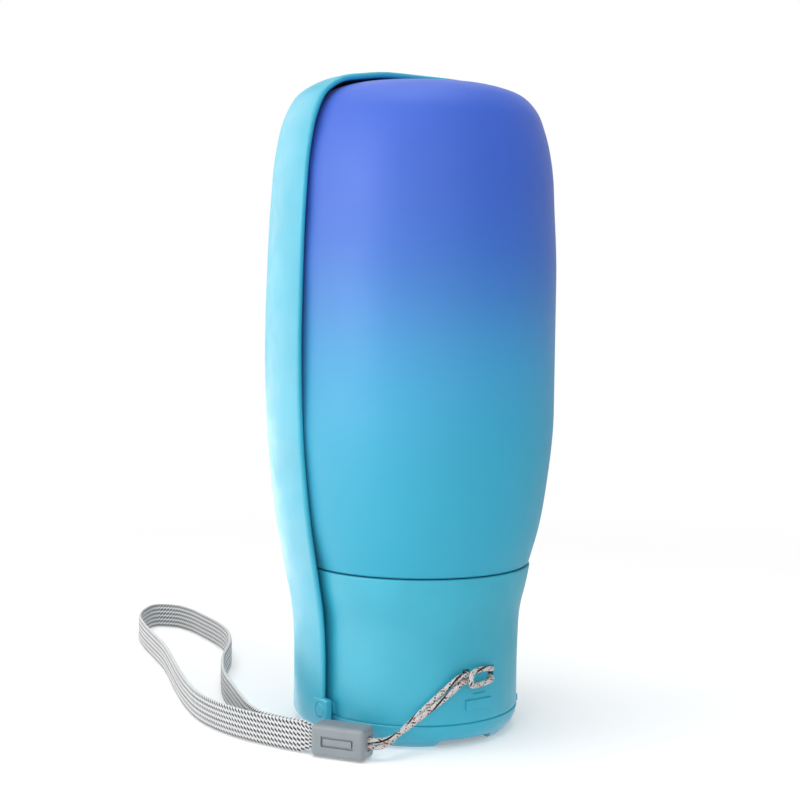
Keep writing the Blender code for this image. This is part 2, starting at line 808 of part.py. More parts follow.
def closed_port():
    """The ring's port stands a turn of the lock away from the outlet while the bottle is shut."""
    angle = math.pi - LOCK_TURN
    return PORT_DISTANCE * math.cos(angle), PORT_DISTANCE * math.sin(angle)


def foot_gap():
    """A gap between two feet, a little wider at the floor than at its top."""
    near, far = RING_FOOT_RADIUS - RING_WALL - OVERRUN, RING_RADIUS + OVERRUN
    low, high = FOOT_GAP_WIDTH / 2, FOOT_GAP_WIDTH / 2 - FOOT_GAP_SLANT
    slope = FOOT_GAP_SLANT / FOOT_GAP_HEIGHT
    bottom = -OVERRUN
    low += slope * OVERRUN
    bm = bmesh.new()
    corners = []
    for x in (near, far):
        outline = ((-low, bottom), (low, bottom), (high, FOOT_GAP_HEIGHT), (-high, FOOT_GAP_HEIGHT))
        corners.append([bm.verts.new((x, y, z)) for y, z in outline])
    bm.faces.new(corners[0])
    bm.faces.new(corners[1])
    for low_index in range(4):
        high_index = (low_index + 1) % 4
        a, b = corners[0][low_index], corners[0][high_index]
        bm.faces.new((a, b, corners[1][high_index], corners[1][low_index]))
    return bm


def make_shutter_pad(body, finish):
    inner = BOSS_RADIUS + 2 * FIT
    top = PAD_BOTTOM + PAD_THICKNESS
    outline = [(PAD_RADIUS, PAD_BOTTOM), (PAD_RADIUS, top), (inner, top), (inner, PAD_BOTTOM)]
    pad = make_object("shutter_pad", lathe(outline), body, finish)
    x, y = closed_port()
    port = rod(BORE_RADIUS, (x, y, PAD_BOTTOM - OVERRUN), (x, y, top + OVERRUN))
    cut(pad, "port", port)


def make_pivot(body, steel):
    washer_top = FLOOR_UNDERSIDE - FIT
    washer_bottom = washer_top - SCREW_WASHER
    head_top = washer_bottom - FIT
    head_bottom = head_top - SCREW_HEAD_HEIGHT
    bore = SCREW_RADIUS + FIT
    washer = [
        (SCREW_HEAD_RADIUS, washer_bottom),
        (SCREW_HEAD_RADIUS, washer_top),
        (bore, washer_top),
        (bore, washer_bottom),
    ]
    make_object("pivot_washer", lathe(washer, SMALL_STEPS), body, steel)
    screw = [
        (0, head_bottom),
        (SCREW_HEAD_RADIUS - SCREW_HEAD_HEIGHT / 2, head_bottom),
        (SCREW_HEAD_RADIUS, head_bottom + SCREW_HEAD_HEIGHT / 2),
        (SCREW_HEAD_RADIUS, head_top),
        (SCREW_RADIUS, head_top),
        (SCREW_RADIUS, FLOOR_UNDERSIDE + SCREW_LENGTH),
        (0, FLOOR_UNDERSIDE + SCREW_LENGTH),
    ]
    screw_object = make_object("pivot_screw", lathe(screw, SMALL_STEPS), body, steel)
    reach = SCREW_HEAD_RADIUS / 2
    half = DRIVE_WIDTH / 2
    low, high = head_bottom - OVERRUN, head_bottom + SCREW_HEAD_HEIGHT / 2
    cut(screw_object, "drive_slot", box((-reach, -half, low), (reach, half, high)))
    cut(screw_object, "drive_cross", box((-half, -reach, low), (half, reach, high)))


def trough_stations():
    """(height, half width, depth, out, up) down the trough's wall, with the wall's normal."""
    low = TROUGH_BOTTOM + TROUGH_CHAMFER
    table = [
        (low + (TROUGH_TOP - low) * up, TROUGH_HALF_WIDTH * wide, TROUGH_DEPTH * deep)
        for up, wide, deep in TROUGH_SHARES
    ]
    curve = smooth(table, 2, first_way=(1, 0, 0), last_way=(0, -1, -1))[::-1]
    stations = []
    for index, (height, half_width, depth) in enumerate(curve):
        above = curve[max(index - 1, 0)]
        below = curve[min(index + 1, len(curve) - 1)]
        rise = above[0] - below[0]
        spread = (below[1] + below[2] - above[1] - above[2]) / 2
        length = math.hypot(rise, spread)
        out, up = (0, 1) if index == 0 else (rise / length, spread / length)
        stations.append((height, half_width, depth, out, up))
    return stations


def trough_chains(angle, stations):
    """Paired outer and inner points of the wall in one direction, from the top to the cut-out."""
    along, across = math.cos(angle), max(0, math.sin(angle))
    side = math.copysign(abs(along) ** (2 / TROUGH_FULLNESS), along)
    back = across ** (2 / TROUGH_FULLNESS)
    outer, inner = [], []
    for height, half_width, depth, out, up in stations:
        inward = TROUGH_WALL * out
        outer.append((-depth * back, half_width * side, height))
        inner.append(
            (
                -(depth - inward) * back,
                (half_width - inward) * side,
                height - TROUGH_WALL * up,
            )
        )
    _, half_width, depth, _, _ = stations[-1]
    chamfer = TROUGH_RIM_CHAMFER + (TROUGH_CHAMFER - TROUGH_RIM_CHAMFER) * back
    floor_top = TROUGH_BOTTOM + TROUGH_WALL
    outer.append((-(depth - chamfer) * back, (half_width - chamfer) * side, TROUGH_BOTTOM))
    inner.append((-(depth - TROUGH_WALL) * back, (half_width - TROUGH_WALL) * side, floor_top))
    cut_out = (-CUT_OUT_RADIUS * back, CUT_OUT_RADIUS * side)
    outer.append((*cut_out, TROUGH_BOTTOM))
    inner.append((*cut_out, floor_top))
    return outer, inner


def trough_shape():
    """The shell as one loft of closed wall sections, with a rounded rim at both of its ends."""
    stations = trough_stations()
    sections = [(0.0, 90), (0.0, 45)]
    sections += [(math.pi * step / TROUGH_SECTIONS, 0) for step in range(TROUGH_SECTIONS + 1)]
    sections += [(math.pi, 45), (math.pi, 90)]
    bm = bmesh.new()
    loops = []
    for angle, lip in sections:
        outer, inner = trough_chains(angle, stations)
        narrow = math.cos(math.radians(lip))
        forward = Vector((TROUGH_WALL / 2 * math.sin(math.radians(lip)), 0, 0))
        loop = []
        for chain, other in ((outer, inner), (inner[::-1], outer[::-1])):
            for point, pair in zip(chain, other):
                point, pair = Vector(point), Vector(pair)
                middle = (point + pair) / 2
                loop.append(bm.verts.new(middle + (point - middle) * narrow + forward))
        loops.append(loop)
    for here, after in zip(loops, loops[1:]):
        for index in range(len(here) - 1):
            bm.faces.new((here[index], here[index + 1], after[index + 1], after[index]))
    return bm


def make_trough(body, finish):
    trough = make_object("trough_shell", trough_shape(), body, finish)
    half = EAR_SIZE / 2
    head_seat = EAR_OUTER - PIN_HEAD_HEIGHT
    for side, name in ((-1, "right"), (1, "left")):
        ear = box(
            (-half, EAR_INNER, HINGE_HEIGHT - half),
            (half, EAR_OUTER, HINGE_HEIGHT + half),
            EAR_ROUND / 2,
        )
        if side < 0:
            bmesh.ops.scale(ear, vec=(1, -1, 1), verts=ear.verts)
        join(trough, f"ear_{name}", ear)
        hole = rod(
            PIN_RADIUS + FIT,
            (0, side * (EAR_INNER - OVERRUN), HINGE_HEIGHT),
            (0, side * (EAR_OUTER + OVERRUN), HINGE_HEIGHT),
        )
        cut(trough, f"pin_hole_{name}", hole)
        seat = rod(
            PIN_HEAD_RADIUS + FIT,
            (0, side * (head_seat - FIT), HINGE_HEIGHT),
            (0, side * (EAR_OUTER + OVERRUN), HINGE_HEIGHT),
        )
        cut(trough, f"pin_seat_{name}", seat)


def on_hinge_line(bm, side):
    """Turns an upright shape onto the trough's hinge line, pointing out at one side."""
    lie = Matrix.Rotation(math.radians(-90) * side, 4, "X")
    lift = Matrix.Translation((0, 0, HINGE_HEIGHT))
    bmesh.ops.transform(bm, matrix=lift @ lie, verts=bm.verts)
    return bm


def make_hinge(body, plastic, nylon):
    head_bottom = EAR_OUTER - PIN_HEAD_HEIGHT
    boss_face = EAR_INNER - WASHER_THICKNESS - 2 * FIT
    pin = [
        (0, boss_face - HINGE_BOSS_DEPTH),
        (PIN_RADIUS, boss_face - HINGE_BOSS_DEPTH),
        (PIN_RADIUS, head_bottom),
        (PIN_HEAD_RADIUS, head_bottom),
        (PIN_HEAD_RADIUS, EAR_OUTER - PIN_HEAD_HEIGHT / 2),
        (PIN_HEAD_RADIUS - PIN_HEAD_HEIGHT / 2, EAR_OUTER),
        (0, EAR_OUTER),
    ]
    washer_outer = EAR_INNER - FIT
    washer_inner = washer_outer - WASHER_THICKNESS
    washer = [
        (WASHER_RADIUS, washer_inner),
        (WASHER_RADIUS, washer_outer),
        (WASHER_BORE, washer_outer),
        (WASHER_BORE, washer_inner),
    ]
    for side, name in ((-1, "right"), (1, "left")):
        shape = on_hinge_line(lathe(pin, SMALL_STEPS), side)
        make_object(f"hinge_pin_{name}", shape, body, plastic)
        shape = on_hinge_line(lathe(washer, SMALL_STEPS), side)
        make_object(f"hinge_washer_{name}", shape, body, nylon)


def leg_route(side):
    """One of the two legs, which lie a strand apart and make half a twist round each other."""
    middle = smooth(LEG_ROUTE, 2)
    route = []
    for index, point in enumerate(middle):
        before = middle[max(index - 1, 0)]
        after = middle[min(index + 1, len(middle) - 1)]
        along = (after - before).normalized()
        level = along.cross(Vector((0, 0, 1))).normalized()
        up = level.cross(along)
        twist = math.pi * min(1, index / (len(middle) - 1) / TWIST_SHARE)
        offset = up * math.cos(twist) + level * math.sin(twist)
        if index == 0:
            offset = Vector((0, 0, 1))
        route.append(point + offset * (side * STRAND_SPACING / 2))
    return route


def make_cords(cap, strap, finish):
    tube("lanyard_hitch", HITCH_ROUTE, cap, finish)
    tube("cord_leg_upper", leg_route(1), strap, finish)
    tube("cord_leg_lower", leg_route(-1), strap, finish)


def in_clip(bm):
    """Moves a shape from the clip's own frame, centred and with X along it, to its place."""
    turn = Matrix.Translation(CLIP_MIDDLE) @ Matrix.Rotation(CLIP_TURN, 4, "Z")
    bmesh.ops.transform(bm, matrix=turn, verts=bm.verts)
    return bm


def make_clip(body, plastic, cord):
    half = Vector((CLIP_LENGTH, CLIP_WIDTH, CLIP_HEIGHT)) / 2
    clip = make_object("strap_clip", in_clip(box(-half, half, CLIP_ROUND, 3)), body, plastic)
    pocket_end = half.x - CLIP_END_WALL
    pocket = Vector((0, half.y - CLIP_SIDE_WALL, half.z - CLIP_WALL))
    low = Vector((-half.x - OVERRUN, -pocket.y, -pocket.z))
    cut(clip, "pocket", in_clip(box(low, (pocket_end, pocket.y, pocket.z))))
    slot_half = CORD_RADIUS + FIT
    slot_low = (pocket_end - OVERRUN, -slot_half, -CLIP_SLOT_HEIGHT / 2)
    slot_high = (half.x + OVERRUN, slot_half, CLIP_SLOT_HEIGHT / 2)
    cut(clip, "cord_slot", in_clip(box(slot_low, slot_high)))
    mark_low = (-CLIP_MARK_LENGTH / 2, -half.y - OVERRUN, -CLIP_MARK_HEIGHT / 2)
    mark_high = (CLIP_MARK_LENGTH / 2, -half.y + CLIP_MARK_DEPTH, CLIP_MARK_HEIGHT / 2)
    cut(clip, "mark", in_clip(box(mark_low, mark_high)))
    knot_end = pocket_end - 2 * FIT
    knot_start = knot_end - KNOT_LENGTH
    fit = Vector((0, FIT, FIT))
    knot = box(
        (knot_start, -pocket.y + FIT, -CLIP_SLOT_HEIGHT / 2),
        (knot_end, pocket.y - FIT, CLIP_SLOT_HEIGHT / 2),
        CORD_RADIUS,
    )
    make_object("cord_knot", in_clip(knot), body, cord)
    wedge_start = -half.x + WEB_INSERTION + 2 * FIT
    wedge = box(
        Vector((wedge_start, -pocket.y, -pocket.z)) + fit,
        Vector((knot_start - FIT, pocket.y, pocket.z)) - fit,
        FIT,
        1,
    )
    make_object("clip_wedge", in_clip(wedge), body, plastic)


def make_webbing(body, finish):
    route = smooth(WEB_ROUTE, 2)
    travelled = [0.0]
    for before, after in zip(route, route[1:]):
        travelled.append(travelled[-1] + (after - before).length)
    length = travelled[-1]
    bm = bmesh.new()
    sections = []
    for index, point in enumerate(route):
        before = route[max(index - 1, 0)]
        after = route[min(index + 1, len(route) - 1)]
        along = (after - before).normalized()
        across = Vector((-along.y, along.x))
        from_end = min(travelled[index], length - travelled[index])
        from_clip = max(0, from_end - WEB_INSERTION - 2 * FIT)
        open_share = min(1, from_clip / WEB_TAPER)
        width = WEB_END_WIDTH + (WEB_WIDTH - WEB_END_WIDTH) * open_share
        middle_height = CLIP_MIDDLE.z + (WEB_LIFT + WEB_WIDTH / 2 - CLIP_MIDDLE.z) * open_share
        half, half_thick = width / 2, WEB_THICKNESS / 2
        outline = (
            (-half_thick, -half + WEB_EDGE),
            (-half_thick + WEB_EDGE, -half),
            (half_thick - WEB_EDGE, -half),
            (half_thick, -half + WEB_EDGE),
            (half_thick, half - WEB_EDGE),
            (half_thick - WEB_EDGE, half),
            (-half_thick + WEB_EDGE, half),
            (-half_thick, half - WEB_EDGE),
        )
        sections.append(
            [
                bm.verts.new((*(point + across * sideways), middle_height + up))
                for sideways, up in outline
            ]
        )
    for here, after in zip(sections, sections[1:]):
        for low in range(len(here)):
            high = (low + 1) % len(here)
            bm.faces.new((here[low], here[high], after[high], after[low]))
    bm.faces.new(sections[0])
    bm.faces.new(sections[-1])
    make_object("webbing_loop", bm, body, finish)


def main():
    clear_scene()
    cyan = material("cyan_plastic", (0.075, 0.5, 0.62), 0.45)
    violet = material("violet_blue_plastic", (0.08, 0.16, 0.68), 0.4)
    white = material("white_plastic", (0.75, 0.77, 0.78), 0.5)
    silicone = material("clear_silicone", (0.68, 0.74, 0.75), 0.6)
    steel = material("stainless_steel", (0.6, 0.6, 0.6), 0.3, 1.0)
    grey = material("grey_plastic", (0.26, 0.29, 0.31), 0.5)
    cord = material("striped_cord", (0.62, 0.55, 0.53), 0.9)
    webbing = material("striped_webbing", (0.5, 0.5, 0.5), 0.9)

    object_root = make_empty("pet_water_bottle", (AXIS_X, 0, 0))
    cap = make_empty("cap", (0, 0, 0), object_root)
    neck_lift = make_empty("neck_lift", (0, 0, NECK_END), object_root)
    bottle = make_empty("bottle", (0, 0, BOTTLE_BOTTOM), object_root)
    lock = make_empty("lock", (0, 0, RING_HEIGHT), object_root)
    trough = make_empty("trough", (0, 0, HINGE_HEIGHT), object_root)
    strap = make_empty("strap", (*SWING_POINT, 0), object_root)

    make_collar(cap, cyan)
    make_outlet(cap, white, silicone)
    make_vent_valve(cap, silicone)
    make_pivot(cap, steel)
    make_hinge(cap, cyan, white)
    make_neck_gasket(neck_lift, silicone)
    make_bottle(bottle, violet)
    make_lock_ring(lock, cyan)
    make_shutter_pad(lock, silicone)
    make_trough(trough, cyan)
    make_cords(cap, strap, cord)
    make_clip(strap, grey, cord)
    make_webbing(strap, webbing)


main()
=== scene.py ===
"""Pet water bottle with a folding drinking trough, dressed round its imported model."""

import json
import math

import bmesh
import bpy
from mathutils import Matrix, Vector


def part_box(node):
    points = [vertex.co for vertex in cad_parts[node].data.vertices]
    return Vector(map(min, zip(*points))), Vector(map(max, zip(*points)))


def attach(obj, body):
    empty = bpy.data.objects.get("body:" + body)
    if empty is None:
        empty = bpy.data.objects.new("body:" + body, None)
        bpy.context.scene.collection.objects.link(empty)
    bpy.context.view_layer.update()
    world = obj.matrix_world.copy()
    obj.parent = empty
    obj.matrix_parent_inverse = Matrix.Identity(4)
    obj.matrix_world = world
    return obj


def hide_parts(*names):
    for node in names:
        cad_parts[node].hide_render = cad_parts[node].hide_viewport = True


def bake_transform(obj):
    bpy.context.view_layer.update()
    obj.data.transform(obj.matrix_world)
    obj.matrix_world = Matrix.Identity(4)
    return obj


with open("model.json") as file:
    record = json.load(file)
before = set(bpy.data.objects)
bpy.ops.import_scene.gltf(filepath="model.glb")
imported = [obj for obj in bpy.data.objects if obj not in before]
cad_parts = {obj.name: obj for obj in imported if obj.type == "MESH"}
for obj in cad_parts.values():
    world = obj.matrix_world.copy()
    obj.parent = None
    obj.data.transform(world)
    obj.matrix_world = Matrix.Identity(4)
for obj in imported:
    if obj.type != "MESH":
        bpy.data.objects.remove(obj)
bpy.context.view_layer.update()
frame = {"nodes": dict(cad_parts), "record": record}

# Camera, as the photograph was taken
CAMERA_DISTANCE = 0.4745
CAMERA_HEIGHT = 0.13234
CAMERA_AZIMUTH = math.radians(53.0)
CAMERA_PITCH = math.radians(4.029)
CAMERA_YAW = math.radians(-0.662)
CAMERA_ROLL = math.radians(0.695)
LENS_MM = 70.64
SENSOR_MM = 36.0

# Fits
FIT = 0.0003  # between pieces that touch
MERGE = 0.000002  # points this near become one
OVERRUN = 0.002  # how far a cutter runs past what it cuts
ROUND_STEPS = 144
SMALL_STEPS = 32
MARK_STEPS = 24
SHARP_EDGE = math.radians(27.0)  # above it, an edge is shaded sharp

# Bottle
BOTTLE_RADIUS = 0.041
BOTTLE_SEAM_RADIUS = 0.0341
BOTTLE_WALL = 0.0016
SEAM_HEIGHT = 0.0501  # top of the cap's collar
FLANK_HEIGHT = 0.0455  # seam to the widest part
BARREL_HEIGHT = 0.040  # the straight widest part
SHOULDER_HEIGHT = 0.0575  # widest part to the top of the dome
NECK_WALL = 0.0018

# Screw thread between neck and collar
THREAD_PITCH = 0.0032
THREAD_TURNS = 1.25
THREAD_DEPTH = 0.0009
THREAD_BASE = 0.0012
THREAD_CREST = 0.0005
THREAD_CLEARANCE = 0.00035
THREAD_START = 0.0045  # up from the neck's end
THREAD_STEPS = 48  # to a turn
THREAD_TAPER_SHARE = 0.25  # of its length, at each end

# Cap collar
COLLAR_RADIUS = 0.0312
COLLAR_FOOT_RADIUS = 0.0309
COLLAR_LIP_RADIUS = 0.0345
COLLAR_WALL = 0.0022
COLLAR_SHOULDER = 0.0012  # height of the rounding at its foot
LIP_ROUND = 0.0004
LIP_BAND = 0.003  # clear band inside the lip, over the thread bore
DECK_HEIGHT = 0.0256  # top of the floor inside the cap
DECK_THICKNESS = 0.002

# Lock ring under the cap
RING_RADIUS = 0.0311
RING_FOOT_RADIUS = 0.0271
RING_HEIGHT = 0.0068
RING_WALL = 0.0023
RING_FLOOR = 0.002
FOOT_GAP_COUNT = 4
FOOT_GAP_HEIGHT = 0.0022
FOOT_GAP_WIDTH = 0.0195
FOOT_GAP_SLANT = 0.001
FOOT_GAP_TURN = math.radians(-4.0)

# Water outlet, with its valves
PORT_DISTANCE = 0.012  # outlet from the bottle's axis
LOCK_TURN = math.radians(60.0)  # how far the ring turns to open
BORE_RADIUS = 0.003
SPIGOT_WALL = 0.0011
VENT_STEM_RADIUS = 0.0013
GASKET_THICKNESS = 0.002

# Pivot of the lock ring
BOSS_RADIUS = 0.0042
SCREW_RADIUS = 0.001
SCREW_LENGTH = 0.013

# Trough
TROUGH_TOP = 0.1961
TROUGH_BOTTOM = 0.0011
TROUGH_HALF_WIDTH = 0.04395
TROUGH_DEPTH = 0.0478
TROUGH_WALL = 0.0018
TROUGH_CHAMFER = 0.0035
TROUGH_RIM_CHAMFER = 0.0009
CUT_OUT_RADIUS = 0.032  # round the cap, in the trough's end wall
TROUGH_SECTIONS = 96
TROUGH_FULLNESS = 2.2  # 2 would make its sections ellipses

# Hinge of the trough
HINGE_HEIGHT = 0.0088
PIN_RADIUS = 0.001
PIN_HEAD_RADIUS = 0.0022
PIN_HEAD_HEIGHT = 0.0008
EAR_SIZE = 0.0072
EAR_ROUND = 0.0016
EAR_INNER = 0.0326
EAR_PROUD = 0.00006  # past the trough's side
WASHER_THICKNESS = 0.0005
HINGE_BOSS_HALF_WIDTH = 0.003
HINGE_BOSS_HEIGHT = 0.0046
HINGE_BOSS_DEPTH = 0.0075
HINGE_BOSS_ROUND = 0.0014
SIDES = ((-1, "right"), (1, "left"))

# Lanyard bar and marks moulded on the collar's front
BAR_HALF_WIDTH = 0.0034
HOLE_WIDTH = 0.0024
HOLE_BOTTOM = 0.0186
HOLE_TOP = 0.0231
PLATE_HALF_WIDTH = 0.0047
PLATE_BOTTOM = 0.0109
PLATE_TOP = 0.014
PLATE_PROUD = 0.00045
PLATE_ROUND = 0.0003
GROOVE_HALF_WIDTH = 0.0022
GROOVE_BOTTOM = 0.0155
GROOVE_TOP = 0.0161
GROOVE_DEPTH = 0.0004
MARK_TURN = math.radians(53.0)
MARK_RADIUS = 0.0011
MARK_PROUD = 0.0004
MARK_HEIGHT = 0.0081

# Wrist strap
CORD_RADIUS = 0.0008
STRAND_SPACING = 0.0019
TWIST_SHARE = 0.875  # of the legs' way, over which they make half a turn
WEB_WIDTH = 0.009
WEB_THICKNESS = 0.0013
WEB_LIFT = 0.0002
WEB_TAPER = 0.004
CLIP_CENTRE = (0.0186, -0.0393)
CLIP_TURN = math.radians(31.0)
CLIP_LENGTH = 0.0166
CLIP_WIDTH = 0.0076
CLIP_HEIGHT = 0.0093
CLIP_LIFT = 0.0003
CLIP_ROUND = 0.0013
CLIP_WALL = 0.0013
CLIP_SIDE_WALL = 0.0018
CLIP_END_WALL = 0.0024
CLIP_SLOT_HEIGHT = 0.0043
CLIP_MARK_LENGTH = 0.010
CLIP_MARK_HEIGHT = 0.003
CLIP_MARK_DEPTH = 0.0006
CLIP_GROOVE = 0.0006
CLIP_PANEL_DEPTH = 0.00008
WEB_INSERTION = 0.0025

# Outlines: shares of the radius and height that each part of the outline covers
FLANK_SHARES = ((0.0, 0.0), (0.41, 0.225), (0.765, 0.56), (1.0, 1.0))
SHOULDER_SHARES = (
    (1.0, 0.0),
    (0.978, 0.35),
    (0.955, 0.575),
    (0.901, 0.75),
    (0.844, 0.852),
    (0.757, 0.922),
    (0.6, 0.97),
    (0.3, 0.994),
    (0.0, 1.0),
)
COLLAR_FOOT_SHARES = ((0.0, 0.0), (0.7, 0.42), (1.0, 1.0))
COLLAR_FLARE_SHARES = ((0.0, 0.0), (0.015, 0.42), (0.18, 0.68), (0.73, 0.88), (1.0, 1.0))
RING_SIDE_SHARES = (
    (0.0, 0.0),
    (0.22, 0.1),
    (0.46, 0.25),
    (0.68, 0.4),
    (0.84, 0.55),
    (0.95, 0.7),
    (1.0, 0.88),
)

# Trough: height, half width and depth, each as a share of the whole
TROUGH_SHARES = (
    (0.0, 0.791, 0.81),
    (0.17, 0.812, 0.834),
    (0.23, 0.856, 0.891),
    (0.294, 0.906, 0.938),
    (0.414, 0.97, 0.98),
    (0.556, 1.0, 1.0),
    (0.685, 0.993, 0.986),
    (0.805, 0.971, 0.958),
    (0.877, 0.941, 0.932),
    (0.93, 0.888, 0.883),
    (0.961, 0.822, 0.816),
    (0.982, 0.705, 0.69),
    (0.9953, 0.458, 0.46),
    (1.0, 0.0, 0.0),
)

# Route of the hitch round the lanyard bar, from one leg to the other
HITCH_ROUTE = (
    (0.0324, -0.0078, 0.0217),
    (0.0324, -0.0067, 0.0218),
    (0.0321, -0.0055, 0.0218),
    (0.0312, -0.0047, 0.0218),
    (0.0298, -0.0046, 0.0218),
    (0.0286, -0.0045, 0.0217),
    (0.02772, -0.0038, 0.0216),
    (0.0277, -0.0018, 0.0216),
    (0.0277, 0.0018, 0.0216),
    (0.02772, 0.0038, 0.0216),
    (0.0286, 0.0046, 0.0217),
    (0.0298, 0.0047, 0.0219),
    (0.0312, 0.0046, 0.0222),
    (0.0324, 0.0034, 0.0226),
    (0.0328, 0.0015, 0.0229),
    (0.033, -0.0009, 0.023),
    (0.0335, -0.0032, 0.0229),
    (0.0343, -0.0051, 0.0225),
    (0.0349, -0.0059, 0.0217),
    (0.035, -0.0061, 0.0208),
    (0.0349, -0.0059, 0.0199),
    (0.0343, -0.0051, 0.0191),
    (0.0335, -0.0032, 0.0187),
    (0.033, -0.0009, 0.0187),
    (0.0328, 0.0015, 0.0189),
    (0.0324, 0.0034, 0.0192),
    (0.0312, 0.0046, 0.0195),
    (0.0298, 0.0047, 0.0197),
    (0.0286, 0.0046, 0.0198),
    (0.02772, 0.0038, 0.0198),
    (0.0277, 0.0018, 0.0198),
    (0.0277, -0.0018, 0.0198),
    (0.02772, -0.0038, 0.0198),
    (0.0286, -0.0045, 0.0198),
    (0.0298, -0.0046, 0.0198),
    (0.0312, -0.0047, 0.0198),
    (0.0321, -0.0055, 0.0198),
    (0.0323, -0.0066, 0.0198),
    (0.0323, -0.0075, 0.0197),
)

# Middle line between the cord's two legs, from the hitch down into the clip
LEG_ROUTE = (
    (0.0324, -0.0087, 0.0204),
    (0.0321, -0.0099, 0.0193),
    (0.0313, -0.012, 0.0174),
    (0.0303, -0.0146, 0.0152),
    (0.0294, -0.017, 0.0132),
    (0.0287, -0.02, 0.011),
    (0.0282, -0.023, 0.0089),
    (0.0281, -0.0258, 0.0073),
    (0.0284, -0.0286, 0.0061),
    (0.0283, -0.0312, 0.0053),
    (0.0274, -0.0335, 0.005),
    (0.0257, -0.035, 0.00495),
    (0.0234, -0.0364, 0.00495),
)

# Middle line of the webbing loop in plan, out of the clip and back into it
WEB_ROUTE = (
    (0.0142, -0.0432),
    (0.012, -0.0445),
    (0.0086, -0.0465),
    (0.004, -0.0486),
    (-0.002, -0.0509),
    (-0.009, -0.0532),
    (-0.0177, -0.055),
    (-0.0264, -0.0556),
    (-0.036, -0.0548),
    (-0.05, -0.0513),
    (-0.065, -0.0462),
    (-0.0815, -0.0399),
    (-0.1005, -0.0329),
    (-0.119, -0.0277),
    (-0.134, -0.0234),
    (-0.1475, -0.0182),
    (-0.158, -0.0108),
    (-0.163, -0.0035),
    (-0.158, 0.002),
    (-0.1475, 0.0036),
    (-0.1375, 0.0026),
    (-0.111, -0.0024),
    (-0.0938, -0.0106),
    (-0.0745, -0.0244),
    (-0.054, -0.0357),
    (-0.04, -0.0409),
    (-0.028, -0.0452),
    (-0.016, -0.0489),
    (-0.007, -0.05),
    (-0.001, -0.0484),
    (0.0045, -0.0462),
    (0.0086, -0.0441),
    (0.01095, -0.0427),
    (0.0131, -0.0414),
)

# Heights and radii that follow from the sizes above
BOTTLE_BOTTOM = SEAM_HEIGHT + FIT
BOTTLE_TOP = BOTTLE_BOTTOM + FLANK_HEIGHT + BARREL_HEIGHT + SHOULDER_HEIGHT
NECK_END = DECK_HEIGHT + GASKET_THICKNESS + 2 * FIT
COLLAR_BOTTOM = RING_HEIGHT + FIT
DECK_UNDERSIDE = DECK_HEIGHT - DECK_THICKNESS
BORE_OF_COLLAR = COLLAR_RADIUS - COLLAR_WALL + FIT
NECK_RADIUS = BORE_OF_COLLAR - THREAD_DEPTH - THREAD_CLEARANCE
FLOOR_UNDERSIDE = RING_HEIGHT - RING_FLOOR
PAD_BOTTOM = RING_HEIGHT + FIT
SPIGOT_RADIUS = BORE_RADIUS + SPIGOT_WALL
WASHER_BORE = PIN_RADIUS + FIT
EAR_OUTER = TROUGH_HALF_WIDTH * TROUGH_SHARES[0][1] + EAR_PROUD
AXIS_X = (TROUGH_DEPTH - BOTTLE_RADIUS) / 2

CLIP_MIDDLE = Vector((*CLIP_CENTRE, CLIP_LIFT + CLIP_HEIGHT / 2))
WEB_END_WIDTH = CLIP_HEIGHT - 2 * CLIP_WALL - 2 * FIT

# Braid of the cord
CORD_STEP = 0.00016
CORD_SIDES = 32
CORD_SPAN_STEPS = 4
CORD_CARRIERS = 8
CORD_BRAID_LENGTH = 0.0058  # along the cord, for one turn of a yarn
CORD_YARN_START = 1000
CORD_RELIEF = 0.13  # of its radius, between its yarns
# A black line of painted shade winds along the cord, standing in for the dark gap between its two
# legs
CORD_GAP_SHADE_TURN = 0.1  # where round the cord its black line starts
CORD_GAP_SHADE_WIND = 0.3  # how much it winds
CORD_GAP_SHADE_WIDTH = 0.065
KNOT_STEPS = 96
KNOT_SIZE = (0.00028, 0.00032, 0.00042)
KNOT_SHARE = 0.9  # of the cord's radius, drawn tight

# Weave of the webbing
WEB_STEP = 0.0003
WEB_SPAN_STEPS = 6
WEB_RIBS = 6
WEB_RIB_STEPS = 6
WEB_RIB_HEIGHT = 0.00016
WEB_RIB_FULLNESS = 0.6  # 1 would make its ribs round
WEB_WEAVE_LENGTH = 0.0013
WEB_LEAN = 0.6  # how far a stitch strays across its rib
WEB_EDGE_LOSS = 0.6
WEB_STITCH_RELIEF = 0.15  # of the rise between ribs

# Fine forms
SPAN_STEPS = 5
ROUNDING_STEPS = 5
FLAT_ANGLE = math.radians(0.4)  # below it, neighbouring faces become one
CHAMFER_STEPS = ((0.12, 0.76), (0.42, 0.42), (1.0, 0.0))  # shares of its width and height
RIM_TURNS = (90, 67, 45, 22)  # degrees, round the trough's rim
EDGE_TURNS = (22, 45, 67, 90)  # degrees, round the top edge of an outline
RING_RISE = 0.00024  # the ring's top, over the height above
RING_ROUND = 0.0005
RING_LEDGE = 0.00025  # how far the ring's edge stands past the collar
SEAM_ROUND = 0.0004
MARK_TIP_ROUND = 0.00035


